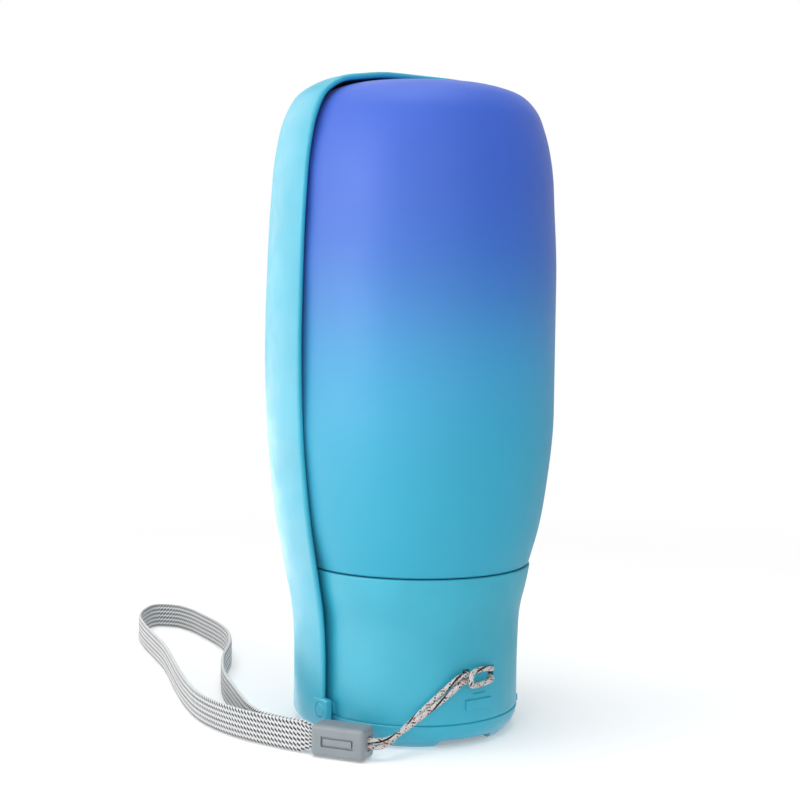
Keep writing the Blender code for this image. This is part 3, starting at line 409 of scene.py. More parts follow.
def smooth(points, steps, first_way=None, last_way=None):
    """Points on a smooth curve through the given ones, with this many steps to a span."""
    points = [Vector(point) for point in points]
    spans = [b - a for a, b in zip(points, points[1:])]
    ways = [spans[0].normalized()]
    for before, after in zip(spans, spans[1:]):
        weighted = before.normalized() * after.length + after.normalized() * before.length
        ways.append(weighted / (before.length + after.length))
    ways.append(spans[-1].normalized())
    if first_way:
        ways[0] = Vector(first_way)
    if last_way:
        ways[-1] = Vector(last_way)
    curve = []
    for index, span in enumerate(spans):
        start, end = points[index], points[index + 1]
        leave, arrive = ways[index] * span.length, ways[index + 1] * span.length
        for step in range(steps):
            t = step / steps
            curve.append(
                start * (2 * t**3 - 3 * t**2 + 1)
                + leave * (t**3 - 2 * t**2 + t)
                + end * (3 * t**2 - 2 * t**3)
                + arrive * (t**3 - t**2)
            )
    return curve + [points[-1]]


def even(points, step):
    """Points this far apart along a line, with their distances from its start."""
    lengths = [0.0]
    for before, after in zip(points, points[1:]):
        lengths.append(lengths[-1] + (after - before).length)
    count = round(lengths[-1] / step)
    made, places, index = [], [], 0
    for number in range(count + 1):
        place = lengths[-1] * number / count
        while index < len(points) - 2 and lengths[index + 1] < place:
            index += 1
        share = (place - lengths[index]) / (lengths[index + 1] - lengths[index])
        made.append(points[index].lerp(points[index + 1], share))
        places.append(place)
    return made, places


def around(points, index):
    """The neighbours of one of these points, or the point itself at an end."""
    return points[max(index - 1, 0)], points[min(index + 1, len(points) - 1)]


def leg_route(side):
    """One of the two legs, which lie a strand apart and make half a twist round each other."""
    middle = smooth(LEG_ROUTE, 2)
    route = []
    for index, point in enumerate(middle):
        before, after = around(middle, index)
        along = (after - before).normalized()
        level = along.cross(Vector((0, 0, 1))).normalized()
        up = level.cross(along)
        twist = math.pi * min(1, index / (len(middle) - 1) / TWIST_SHARE)
        offset = up * math.cos(twist) + level * math.sin(twist)
        if index == 0:
            offset = Vector((0, 0, 1))
        route.append(point + offset * (side * STRAND_SPACING / 2))
    return route


def to_world(point):
    return Vector((point[0] + AXIS_X, point[1], point[2] if len(point) > 2 else 0))


# Camera
def make_camera():
    pitch, yaw = CAMERA_PITCH, CAMERA_YAW
    forward = Vector(
        (math.sin(yaw) * math.cos(pitch), math.cos(yaw) * math.cos(pitch), -math.sin(pitch))
    )
    right = Vector((math.cos(yaw), -math.sin(yaw), 0))
    up = right.cross(forward)
    rolled_right = right * math.cos(CAMERA_ROLL) + up * math.sin(CAMERA_ROLL)
    rolled_up = up * math.cos(CAMERA_ROLL) - right * math.sin(CAMERA_ROLL)
    turn = Matrix((rolled_right, rolled_up, -forward)).transposed()
    azimuth = Matrix.Rotation(CAMERA_AZIMUTH, 3, "Z")
    place = azimuth @ Vector((0, -CAMERA_DISTANCE, 0)) + Vector((AXIS_X, 0, CAMERA_HEIGHT))
    camera = bpy.data.objects.new("camera", bpy.data.cameras.new("camera"))
    camera.data.lens = LENS_MM
    camera.data.sensor_width = SENSOR_MM
    camera.matrix_world = Matrix.Translation(place) @ (azimuth @ turn).to_4x4()
    bpy.context.scene.collection.objects.link(camera)
    bpy.context.scene.camera = camera


# Node helpers
class Nodes:
    """Short ways to make the nodes of one tree."""

    def __init__(self, tree):
        self.tree = tree

    def add(self, kind, **settings):
        node = self.tree.nodes.new(kind)
        for key, value in settings.items():
            setattr(node, key, value)
        return node

    def link(self, source, target):
        self.tree.links.new(source, target)

    def put(self, node, values):
        """Sets or links the inputs of a node."""
        for key, value in values.items():
            socket = node.inputs[key]
            if isinstance(value, bpy.types.NodeSocket):
                self.link(value, socket)
            else:
                socket.default_value = value
        return node

    def math(self, operation, a, b=0.0, c=0.0):
        node = self.add("ShaderNodeMath", operation=operation)
        return self.put(node, {0: a, 1: b, 2: c}).outputs[0]

    def vector(self, operation, a, b=(0, 0, 0)):
        node = self.add("ShaderNodeVectorMath", operation=operation)
        return self.put(node, {0: a, 1: b}).outputs["Value"]

    def clamped(self, value, low, high, to_low=0.0, to_high=1.0):
        node = self.add("ShaderNodeMapRange", interpolation_type="SMOOTHSTEP")
        values = {0: value, 1: low, 2: high, 3: to_low, 4: to_high}
        return self.put(node, values).outputs[0]

    def linear(self, value, low, high):
        node = self.add("ShaderNodeMapRange")
        return self.put(node, {0: value, 1: low, 2: high, 3: 0.0, 4: 1.0}).outputs[0]

    def shaders(self, share, a, b):
        node = self.add("ShaderNodeMixShader")
        return self.put(node, {0: share, 1: a, 2: b}).outputs[0]


class Surface(Nodes):
    """Short ways to make the nodes of one procedural material."""

    def __init__(self, name, roughness, metallic=0.0, specular=0.5):
        self.material = bpy.data.materials.new(name)
        self.material.use_nodes = True
        super().__init__(self.material.node_tree)
        self.shader = self.tree.nodes["Principled BSDF"]
        self.shader.inputs["Roughness"].default_value = roughness
        self.shader.inputs["Metallic"].default_value = metallic
        self.shader.inputs["Specular IOR Level"].default_value = specular

    def mix(self, share, a, b, blend="MIX"):
        node = self.add("ShaderNodeMix", data_type="RGBA", blend_type=blend)
        sockets = {0: share, 6: a, 7: b}
        return self.put(node, sockets).outputs[2]

    def object_place(self):
        return self.add("ShaderNodeTexCoord").outputs["Object"]

    def uv_place(self, name):
        """The two coordinates of a UV map."""
        uv = self.add("ShaderNodeUVMap", uv_map=name).outputs[0]
        parts = self.put(self.add("ShaderNodeSeparateXYZ"), {0: uv}).outputs
        return parts["X"], parts["Y"]

    def noise(self, place, scale, detail=2.0, roughness=0.5):
        node = self.add("ShaderNodeTexNoise")
        values = {"Vector": place, "Scale": scale, "Detail": detail, "Roughness": roughness}
        return self.put(node, values).outputs["Fac"]

    def bump(self, height, distance, strength=1.0):
        node = self.add("ShaderNodeBump")
        values = {"Height": height, "Distance": distance, "Strength": strength}
        self.link(self.put(node, values).outputs["Normal"], self.shader.inputs["Normal"])

    def colour(self, value):
        self.link(value, self.shader.inputs["Base Color"])

    def roughness(self, value):
        self.link(value, self.shader.inputs["Roughness"])


# Finishes
MOULDED = {  # colour, roughness, scale and depth of the grain, and how much the colour varies
    "cyan_plastic": ((0.033, 0.405, 0.555), 0.42, 2600.0, 0.00002, 0.05),
    "white_plastic": ((0.74, 0.76, 0.77), 0.35, 1800.0, 0.00002, 0.02),
    "clear_silicone": ((0.66, 0.72, 0.73), 0.55, 900.0, 0.00003, 0.03),
    "grey_plastic": ((0.225, 0.255, 0.275), 0.5, 2200.0, 0.00003, 0.06),
}
MIDDLE = (0.3, 0.7)  # where most of a noise's values lie
WIDE_MIDDLE = (0.25, 0.75)
CLOUD_SCALE = 45.0
SMEAR_SCALE = 120.0
SMEAR_GLOSS, SMEAR_DULL = 0.05, 0.06  # how far smears change the roughness
COAT_ROUGHNESS = (0.46, 0.55)  # of the bottle's soft-touch coat
COAT_SHEEN = {"Sheen Weight": 0.12, "Sheen Roughness": 0.45}
COAT_GRAIN_DEPTH = 0.000015
SILICONE_CLEARNESS = {"Transmission Weight": 0.35, "IOR": 1.41}
STEEL_STAINED, STEEL_CLEAN = (0.5, 0.5, 0.51, 1), (0.64, 0.64, 0.64, 1)
STEEL_ROUGHNESS = (0.24, 0.4)
STEEL_RING_DEPTH = 0.00001
FADE = (  # height and colour down the bottle's coat
    (0.050, (0.03, 0.385, 0.55)),
    (0.084, (0.032, 0.38, 0.575)),
    (0.100, (0.04, 0.355, 0.59)),
    (0.1135, (0.045, 0.315, 0.6)),
    (0.128, (0.046, 0.218, 0.57)),
    (0.145, (0.038, 0.138, 0.555)),
    (0.172, (0.038, 0.113, 0.575)),
    (0.194, (0.04, 0.118, 0.585)),
)
FADE_DRIFT = 0.004  # how far the fade strays up and down
DRIFT_SCALE = 14.0
STAIN_SCALE = 300.0
TURNING_SCALE = 900.0
GRAIN_SCALE = 4200.0  # of the bottle's coat and the webbing's fibres
CORD_FIBRE_SCALE = 5200.0
CORD_FIBRE_DEPTH = 0.00006
WEB_FIBRE_DEPTH = 0.00012
YARN_SHEEN = {"Sheen Weight": 0.2}
DIM_FIBRE = 0.8  # the darkest of the cord's fibres
STITCH_END_SHADE = 0.5
# Painted shade, darkest in the gaps between the cord's yarns
YARN_SHADE = (0.0, 0.09)  # from the gap between yarns to their crowns
WEB_STITCH_END = (0.34, 0.44)  # from a stitch's middle, over which it fades
WEB_STITCH_SIDE = (0.18, 0.27)
CORD_WHITE, CORD_BLACK = (0.9, 0.86, 0.84, 1), (0.012, 0.01, 0.012, 1)
CORD_RED, CORD_ORANGE = (0.4, 0.1, 0.09, 1), (0.5, 0.24, 0.17, 1)
WEB_SHADED, WEB_WHITE = (0.68, 0.68, 0.69, 1), (0.85, 0.85, 0.86, 1)
WEB_DARK = (0.006, 0.006, 0.008, 1)


def moulded(name):
    """Moulded plastic: faint clouds in the colour, a fine spark grain and uneven gloss."""
    colour, roughness, grain_scale, grain_depth, tint = MOULDED[name]
    made = Surface(name, roughness)
    place = made.object_place()
    clouds = made.noise(place, CLOUD_SCALE, 3.0)
    share = made.clamped(clouds, *MIDDLE)
    light = tuple(min(1, part * (1 + tint)) for part in colour)
    dark = tuple(part * (1 - tint) for part in colour)
    made.colour(made.mix(share, (*dark, 1), (*light, 1)))
    smears = made.noise(place, SMEAR_SCALE, 4.0, 0.6)
    glossy, dull = roughness - SMEAR_GLOSS, roughness + SMEAR_DULL
    made.roughness(made.clamped(smears, *WIDE_MIDDLE, glossy, dull))
    made.bump(made.noise(place, grain_scale, 3.0, 0.6), grain_depth, 0.5)
    return made


def faded_bottle():
    """Soft-touch coat that fades from violet-blue through sky blue to cyan down the bottle."""
    made = Surface("soft_touch_fade", 0.5, specular=0.35)
    place = made.object_place()
    height = made.put(made.add("ShaderNodeSeparateXYZ"), {0: place}).outputs["Z"]
    drift = made.math("SUBTRACT", made.noise(place, DRIFT_SCALE), 0.5)
    level = made.math("MULTIPLY_ADD", drift, FADE_DRIFT, height)
    ramp = made.add("ShaderNodeValToRGB")
    ramp.color_ramp.interpolation = "B_SPLINE"
    low, high = FADE[0][0], FADE[-1][0]
    elements = ramp.color_ramp.elements
    while len(elements) < len(FADE):
        elements.new(0.5)
    for element, (at, colour) in zip(elements, FADE):
        element.position = (at - low) / (high - low)
        element.color = (*colour, 1)
    made.link(made.linear(level, low, high), ramp.inputs[0])
    made.colour(ramp.outputs["Color"])
    smears = made.noise(place, SMEAR_SCALE / 2, 4.0, 0.6)
    made.roughness(made.clamped(smears, *WIDE_MIDDLE, *COAT_ROUGHNESS))
    made.bump(made.noise(place, GRAIN_SCALE, 2.0, 0.7), COAT_GRAIN_DEPTH, 0.5)
    made.put(made.shader, COAT_SHEEN)
    return made.material


def silicone():
    made = moulded("clear_silicone")
    made.put(made.shader, SILICONE_CLEARNESS)
    return made.material


def turned_steel():
    """Steel with fine rings from turning and faint stains."""
    made = Surface("stainless_steel", 0.3, metallic=1.0)
    place = made.object_place()
    stains = made.clamped(made.noise(place, STAIN_SCALE, 4.0), *MIDDLE)
    made.colour(made.mix(stains, STEEL_STAINED, STEEL_CLEAN))
    turning = made.noise(place, TURNING_SCALE, 3.0)
    made.roughness(made.clamped(turning, *MIDDLE, *STEEL_ROUGHNESS))
    rings = made.add("ShaderNodeTexWave", wave_type="RINGS", rings_direction="Z")
    made.put(rings, {"Vector": place, "Scale": TURNING_SCALE, "Distortion": 1.5})
    made.bump(rings.outputs["Fac"], STEEL_RING_DEPTH, 0.4)
    return made.material


def braided_cord():
    """White yarns with flecks of red and black, over and under each other round the cord."""
    made = Surface("braided_cord", 0.8, specular=0.3)
    one, two = made.uv_place("braid")
    first, second = made.math("FLOOR", one), made.math("FLOOR", two)
    over = made.math("ABSOLUTE", made.math("MODULO", made.math("ADD", first, second), 2.0))
    first_yarn = made.math("FLOORED_MODULO", first, float(CORD_CARRIERS))
    second_yarn = made.math("FLOORED_MODULO", second, float(CORD_CARRIERS))
    one_way = made.mix(made.math("LESS_THAN", first_yarn, 0.5), CORD_WHITE, CORD_BLACK)
    opposite = made.math("COMPARE", first_yarn, CORD_CARRIERS / 2, 0.5)
    one_way = made.mix(opposite, one_way, CORD_ORANGE)
    other = made.mix(made.math("LESS_THAN", second_yarn, 0.5), CORD_WHITE, CORD_RED)
    colour = made.mix(over, one_way, other)
    # Painted shade: a black line winding slowly along the cord, in place of the dark gap between
    # its two legs
    turns = made.math("MULTIPLY", made.math("SUBTRACT", one, two), 0.5 / CORD_CARRIERS)
    lengths = made.math("MULTIPLY", made.math("ADD", one, two), 0.5 / CORD_CARRIERS)
    wind = made.math("MULTIPLY_ADD", lengths, CORD_GAP_SHADE_WIND, turns)
    way_round = made.math("FRACT", made.math("ADD", wind, CORD_GAP_SHADE_TURN))
    painted_gap_shade = made.math("COMPARE", way_round, 0.5, CORD_GAP_SHADE_WIDTH)
    colour = made.mix(painted_gap_shade, colour, CORD_BLACK)
    # Painted shade: the yarns' colour darkens towards the gaps between them, multiplied with the
    # fibres' own grey
    crowns = [made.math("PINGPONG", part, 0.5) for part in (one, two)]
    shade = made.clamped(made.math("MULTIPLY", *crowns), *YARN_SHADE)
    fibres = made.noise(made.object_place(), CORD_FIBRE_SCALE, 2.0, 0.6)
    grey = made.clamped(fibres, *MIDDLE, DIM_FIBRE, 1.0)
    dim = made.math("MULTIPLY", made.math("MULTIPLY_ADD", shade, 0.5, 0.5), grey)
    tone = made.put(made.add("ShaderNodeCombineColor"), {0: dim, 1: dim, 2: dim})
    made.colour(made.mix(1.0, colour, tone.outputs[0], "MULTIPLY"))
    made.bump(made.math("MULTIPLY_ADD", shade, 0.6, fibres), CORD_FIBRE_DEPTH, 0.8)
    made.put(made.shader, YARN_SHEEN)
    return made.material


def striped_webbing():
    """White woven band: a dark yarn runs along each rib in short slanting stitches."""
    made = Surface("striped_webbing", 0.75, specular=0.3)
    along, across = made.uv_place("weave")
    up = made.math("SUBTRACT", made.math("FRACT", across), 0.5)
    place = made.math("SUBTRACT", made.math("FRACT", along), 0.5)
    from_stitch = made.math("ABSOLUTE", place)
    lean = made.math("MULTIPLY", place, WEB_LEAN)
    from_line = made.math("ABSOLUTE", made.math("SUBTRACT", up, lean))
    dark = made.math(
        "MULTIPLY",
        made.clamped(from_stitch, *WEB_STITCH_END, 1.0, STITCH_END_SHADE),
        made.clamped(from_line, *WEB_STITCH_SIDE, 1.0, 0.0),
    )
    fibres = made.noise(made.object_place(), GRAIN_SCALE, 2.0, 0.6)
    white = made.mix(made.clamped(fibres, *MIDDLE), WEB_SHADED, WEB_WHITE)
    made.colour(made.mix(dark, white, WEB_DARK))
    height = made.math("MULTIPLY_ADD", fibres, 0.4, from_stitch)
    made.bump(made.math("MULTIPLY_ADD", dark, -0.3, height), WEB_FIBRE_DEPTH, 0.8)
    made.put(made.shader, YARN_SHEEN)
    return made.material


# Pieces
def mesh_object(name, bm, material=None):
    bmesh.ops.recalc_face_normals(bm, faces=bm.faces)
    mesh = bpy.data.meshes.new(name)
    bm.to_mesh(mesh)
    bm.free()
    mesh.shade_smooth()
    if material:
        mesh.materials.append(material)
    obj = bpy.data.objects.new(name, mesh)
    bpy.context.scene.collection.objects.link(obj)
    return obj


def skin(bm, rings, closed=True, capped=True):
    """Faces between rings of points, each with the numbers of its first ring and point."""
    faces = []
    count = len(rings[0])
    for index, (here, after) in enumerate(zip(rings, rings[1:])):
        for low in range(count if closed else count - 1):
            high = (low + 1) % count
            face = bm.faces.new((here[low], here[high], after[high], after[low]))
            faces.append((face, index, low))
    if capped:
        bm.faces.new(rings[0][::-1])
        bm.faces.new(rings[-1])
    return faces


def carried_frames(line):
    """Two directions across a line at each point, carried along it without twist."""
    frames = []
    side = None
    for index in range(len(line)):
        before, after = around(line, index)
        along = (after - before).normalized()
        if side is None:
            side = along.orthogonal().normalized()
        side = (side - along * side.dot(along)).normalized()
        frames.append((side, along.cross(side)))
    return frames


def braided_tube(name, line, radius, material):
    """A round cord whose surface rises and falls as its yarns cross."""
    line, places = even(line, CORD_STEP)
    frames = carried_frames(line)
    bm = bmesh.new()
    uv_layer = bm.loops.layers.uv.new("braid")
    rings = []
    for point, place, (side, other) in zip(line, places, frames):
        ring = []
        for step in range(CORD_SIDES):
            turn = step / CORD_SIDES
            angle = 2 * math.pi * turn
            one, two = braid_place(place, turn)
            crown = abs(math.sin(math.pi * one) * math.sin(math.pi * two))
            r = radius * (1 - CORD_RELIEF + CORD_RELIEF * crown)
            ring.append(
                bm.verts.new(point + side * (r * math.cos(angle)) + other * (r * math.sin(angle)))
            )
        rings.append(ring)
    for face, index, low in skin(bm, rings):
        corners = ((index, low), (index, low + 1), (index + 1, low + 1), (index + 1, low))
        for loop, (section, step) in zip(face.loops, corners):
            loop[uv_layer].uv = braid_place(places[section], step / CORD_SIDES)
    return mesh_object(name, bm, material), line


def braid_place(place, turn):
    """Where a point lies on the yarns of each way; the second is kept above zero."""
    along = place / CORD_BRAID_LENGTH * CORD_CARRIERS
    across = turn * CORD_CARRIERS
    return along + across, along - across + CORD_YARN_START


def webbing_band(name, route, material):
    """The flat band: ribs along it, each with the rise and fall of its stitches."""
    line, places = even([Vector((*point, 0)) for point in route], WEB_STEP)
    length = places[-1]
    bm = bmesh.new()
    uv_layer = bm.loops.layers.uv.new("weave")
    outline = band_outline()
    sections = []
    for index, (point, place) in enumerate(zip(line, places)):
        before, after = around(line, index)
        along = (after - before).normalized()
        across = Vector((-along.y, along.x, 0))
        from_clip = max(0, min(place, length - place) - WEB_INSERTION - 2 * FIT)
        share = min(1, from_clip / WEB_TAPER)
        width = WEB_END_WIDTH + (WEB_WIDTH - WEB_END_WIDTH) * share
        low_middle = WEB_LIFT + WEB_WIDTH / 2
        middle = CLIP_MIDDLE.z + (low_middle - CLIP_MIDDLE.z) * share
        section = []
        for side, up in outline:
            thick = band_thickness(up, place, side)
            height = middle + (up - 0.5) * width
            section.append(bm.verts.new(point + across * (side * thick) + Vector((0, 0, height))))
        sections.append(section)
    for face, index, low in skin(bm, sections):
        high = (low + 1) % len(outline)
        corners = ((index, low), (index, high), (index + 1, high), (index + 1, low))
        for loop, (section, corner) in zip(face.loops, corners):
            along, across = places[section] / WEB_WEAVE_LENGTH, outline[corner][1] * WEB_RIBS
            loop[uv_layer].uv = (along, across)
    path = [point + Vector((0, 0, CLIP_MIDDLE.z)) for point in line]
    return mesh_object(name, bm, material), path


def band_outline():
    """(side, height share) round the band's section."""
    steps = WEB_RIBS * WEB_RIB_STEPS
    shares = [step / steps for step in range(steps + 1)]
    return [(1, share) for share in shares] + [(-1, share) for share in reversed(shares)]


def band_thickness(up, place, side):
    """Half the band's thickness: full on the ribs, and thin between them and at its edges."""
    rib = abs(math.sin(math.pi * up * WEB_RIBS))
    row = math.floor(up * WEB_RIBS)
    stitch = math.cos(2 * math.pi * (place / WEB_WEAVE_LENGTH + 0.5 * row + 0.25 * side))
    relief = 1 - WEB_STITCH_RELIEF + WEB_STITCH_RELIEF * stitch
    crown = WEB_RIB_HEIGHT * (1 - rib**WEB_RIB_FULLNESS * relief)
    edge = min(1, min(up, 1 - up) * WEB_RIBS)
    edge_loss = (1 - math.sqrt(1 - (1 - edge) ** 2)) * WEB_EDGE_LOSS
    return WEB_THICKNESS / 2 * (1 - edge_loss) - crown


def knot_line():
    """A trefoil, drawn together, as the knot that holds the cord's ends in the clip."""
    points = []
    for index in range(KNOT_STEPS + 1):
        t = 2 * math.pi * index / KNOT_STEPS
        x = math.sin(3 * t)
        y = math.sin(t) + 2 * math.sin(2 * t)
        z = math.cos(t) - 2 * math.cos(2 * t)
        points.append(Vector((KNOT_SIZE[0] * x, KNOT_SIZE[1] * y, KNOT_SIZE[2] * z)))
    return points


def main_cord():
    line = leg_route(1)[::-1] + [Vector(point) for point in HITCH_ROUTE] + leg_route(-1)
    line = smooth([to_world(point) for point in line], CORD_SPAN_STEPS)
    cord, path = braided_tube("twin_cord", line, CORD_RADIUS, CORD_MATERIAL)
    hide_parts("lanyard_hitch", "cord_leg_upper", "cord_leg_lower")
    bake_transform(cord)
    return cord, path


# Fine forms of the rigid pieces, from the sizes above
def even_shading(obj):
    """Smooth curved faces, with flat faces left flat and edges left sharp."""
    obj.data.shade_smooth()
    obj.data.set_sharp_from_angle(angle=SHARP_EDGE)
    weighted = obj.modifiers.new("even_shading", "WEIGHTED_NORMAL")
    weighted.keep_sharp = True


def solid(name, bm, finish=None):
    """An object of this shape, whose points are measured from the bottle's axis."""
    bmesh.ops.translate(bm, vec=(AXIS_X, 0, 0), verts=bm.verts)
    bmesh.ops.remove_doubles(bm, verts=bm.verts, dist=MERGE)
    return mesh_object(name, bm, finish)


def apply_shape(obj, operation, name, bm):
    """Adds a shape to an object, or takes it away, with a Boolean."""
    boolean = obj.modifiers.new(name, "BOOLEAN")
    boolean.operation = operation
    boolean.solver = "EXACT"
    boolean.object = solid(name, bm)


def cut(obj, name, bm):
    apply_shape(obj, "DIFFERENCE", name, bm)


def join(obj, name, bm):
    apply_shape(obj, "UNION", name, bm)


def baked(obj):
    """Applies the object's Booleans, removes their tools and shades the result."""
    bpy.context.view_layer.update()
    evaluated = obj.evaluated_get(bpy.context.evaluated_depsgraph_get())
    mesh = bpy.data.meshes.new_from_object(evaluated)
    tools = [boolean.object for boolean in obj.modifiers]
    obj.modifiers.clear()
    obj.data = mesh
    for tool in tools:
        bpy.data.objects.remove(tool)
    even_shading(obj)
    return obj


def lathe(outline):
    """An outline of (radius, height) points turned about the bottle's axis."""
    bm = bmesh.new()
    rings = []
    for step in range(ROUND_STEPS):
        angle = 2 * math.pi * step / ROUND_STEPS
        x, y = math.cos(angle), math.sin(angle)
        rings.append([bm.verts.new((r * x, r * y, z)) for r, z in outline])
    for here, after in zip(rings, rings[1:] + rings[:1]):
        for low in range(len(outline)):
            high = (low + 1) % len(outline)
            if outline[low][0] or outline[high][0]:
                bm.faces.new((here[low], after[low], after[high], here[high]))
    return bm


def rod(radius, start, end, steps=SMALL_STEPS):
    """A round bar between two points."""
    start, end = Vector(start), Vector(end)
    along = end - start
    half_step = Matrix.Rotation(math.pi / steps, 4, "Z")
    turn = Vector((0, 0, 1)).rotation_difference(along).to_matrix().to_4x4() @ half_step
    bm = bmesh.new()
    bmesh.ops.create_cone(
        bm,
        cap_ends=True,
        segments=steps,
        radius1=radius,
        radius2=radius,
        depth=along.length,
        matrix=Matrix.Translation((start + end) / 2) @ turn,
    )
    return bm


def hinge_rod(radius, side, near, far):
    """A round bar on the hinge's line, on one side of the bottle's axis."""
    return rod(radius, (0, side * near, HINGE_HEIGHT), (0, side * far, HINGE_HEIGHT))


def upright_rod(radius, x, y, low, high):
    return rod(radius, (x, y, low), (x, y, high))


def round_edges(bm, edges, rounding):
    bmesh.ops.bevel(
        bm, geom=edges, offset=rounding, segments=ROUNDING_STEPS, profile=0.5, affect="EDGES"
    )


def box(low, high, rounding=0.0):
    """A block between two corners, with rounded edges where a rounding is given."""
    low, high = Vector(low), Vector(high)
    bm = bmesh.new()
    bmesh.ops.create_cube(bm, size=1)
    bmesh.ops.scale(bm, vec=high - low, verts=bm.verts)
    bmesh.ops.translate(bm, vec=(low + high) / 2, verts=bm.verts)
    if rounding:
        round_edges(bm, bm.edges[:], rounding)
    return bm


def turned_about_z(bm, angle):
    bmesh.ops.transform(bm, matrix=Matrix.Rotation(angle, 4, "Z"), verts=bm.verts)
    return bm


def thread(root_radius, crest_radius, start_height):
    """A helical rib, buried a little in the wall that carries it, with both ends tapered off."""
    buried = math.copysign(FIT, root_radius - crest_radius)
    sections = int(THREAD_TURNS * THREAD_STEPS)
    bm = bmesh.new()
    rings = []
    for section in range(sections + 1):
        turns = section / THREAD_STEPS
        angle = 2 * math.pi * turns
        height = start_height + THREAD_PITCH * turns
        from_end = min(section, sections - section) / sections
        taper = min(1, from_end / THREAD_TAPER_SHARE)
        crest = root_radius + (crest_radius - root_radius) * taper
        corners = (
            (root_radius + buried, -THREAD_BASE / 2),
            (root_radius + buried, THREAD_BASE / 2),
            (crest, THREAD_CREST / 2),
            (crest, -THREAD_CREST / 2),
        )
        x, y = math.cos(angle), math.sin(angle)
        rings.append([bm.verts.new((r * x, r * y, height + up)) for r, up in corners])
    skin(bm, rings)
    return bm


def spread(shares, start, size):
    """Outline points at these shares of a part's width and height, from where it starts."""
    return [(start[0] + size[0] * out, start[1] + size[1] * up) for out, up in shares]


def bottle_outline(radius, seam_radius, bottom, top):
    """The bottle's side from the seam to the middle of its dome."""
    flank = spread(FLANK_SHARES, (seam_radius, bottom), (radius - seam_radius, FLANK_HEIGHT))
    shoulder = spread(SHOULDER_SHARES, (0, top - SHOULDER_HEIGHT), (radius, SHOULDER_HEIGHT))
    return smooth(flank, SPAN_STEPS, last_way=(0, 1)) + smooth(
        shoulder, SPAN_STEPS, first_way=(0, 1), last_way=(-1, 0)
    )


def fine_bottle(finish):
    outside = bottle_outline(BOTTLE_RADIUS, BOTTLE_SEAM_RADIUS, BOTTLE_BOTTOM, BOTTLE_TOP)
    outside[0] = (outside[0][0] - SEAM_ROUND, BOTTLE_BOTTOM)
    outside.insert(1, (BOTTLE_SEAM_RADIUS + SEAM_ROUND / 4, BOTTLE_BOTTOM + SEAM_ROUND))
    inside = bottle_outline(
        BOTTLE_RADIUS - BOTTLE_WALL,
        BOTTLE_SEAM_RADIUS - BOTTLE_WALL,
        BOTTLE_BOTTOM + BOTTLE_WALL,
        BOTTLE_TOP - BOTTLE_WALL,
    )
    neck_inside = NECK_RADIUS - NECK_WALL
    neck = [
        (NECK_RADIUS, BOTTLE_BOTTOM),
        (NECK_RADIUS, NECK_END),
        (neck_inside, NECK_END),
        (neck_inside, BOTTLE_BOTTOM + BOTTLE_WALL),
    ]
    outline = outside[::-1] + neck + inside
    bottle = solid("fine_bottle", lathe(outline), finish)
    rib = thread(NECK_RADIUS, NECK_RADIUS + THREAD_DEPTH, NECK_END + THREAD_START)
    join(bottle, "thread", rib)
    return baked(bottle)


def rounded(radius, top, rounding):
    """The rounded outer edge at the top of an outline."""
    turns = [math.radians(turn) for turn in EDGE_TURNS]
    return [
        (radius - rounding * (1 - math.cos(turn)), top - rounding * (1 - math.sin(turn)))
        for turn in turns
    ]


def collar_outline():
    flare_bottom = COLLAR_BOTTOM + COLLAR_SHOULDER
    flare_top = SEAM_HEIGHT - LIP_ROUND
    foot = spread(
        COLLAR_FOOT_SHARES,
        (COLLAR_FOOT_RADIUS, COLLAR_BOTTOM),
        (COLLAR_RADIUS - COLLAR_FOOT_RADIUS, COLLAR_SHOULDER),
    )
    flare = spread(
        COLLAR_FLARE_SHARES,
        (COLLAR_RADIUS, flare_bottom),
        (COLLAR_LIP_RADIUS - COLLAR_RADIUS, flare_top - flare_bottom),
    )
    outside = smooth(foot, SPAN_STEPS, last_way=(0, 1))[:-1] + smooth(flare, SPAN_STEPS, (0, 1))
    outside += rounded(COLLAR_LIP_RADIUS, SEAM_HEIGHT, LIP_ROUND)[:-1]
    lip_inside = COLLAR_LIP_RADIUS - COLLAR_WALL
    inner_wall = COLLAR_RADIUS - COLLAR_WALL
    inside = [
        (COLLAR_LIP_RADIUS - LIP_ROUND, SEAM_HEIGHT),
        (lip_inside, SEAM_HEIGHT),
        (lip_inside, SEAM_HEIGHT - LIP_BAND),
        (BORE_OF_COLLAR, SEAM_HEIGHT - LIP_BAND - COLLAR_WALL),
        (BORE_OF_COLLAR, DECK_HEIGHT),
        (0, DECK_HEIGHT),
        (0, PAD_BOTTOM),
        (BOSS_RADIUS, PAD_BOTTOM),
        (BOSS_RADIUS, DECK_UNDERSIDE),
        (inner_wall, DECK_UNDERSIDE),
        (inner_wall, flare_bottom),
        (COLLAR_FOOT_RADIUS - COLLAR_WALL, COLLAR_BOTTOM),
    ]
    return outside + inside


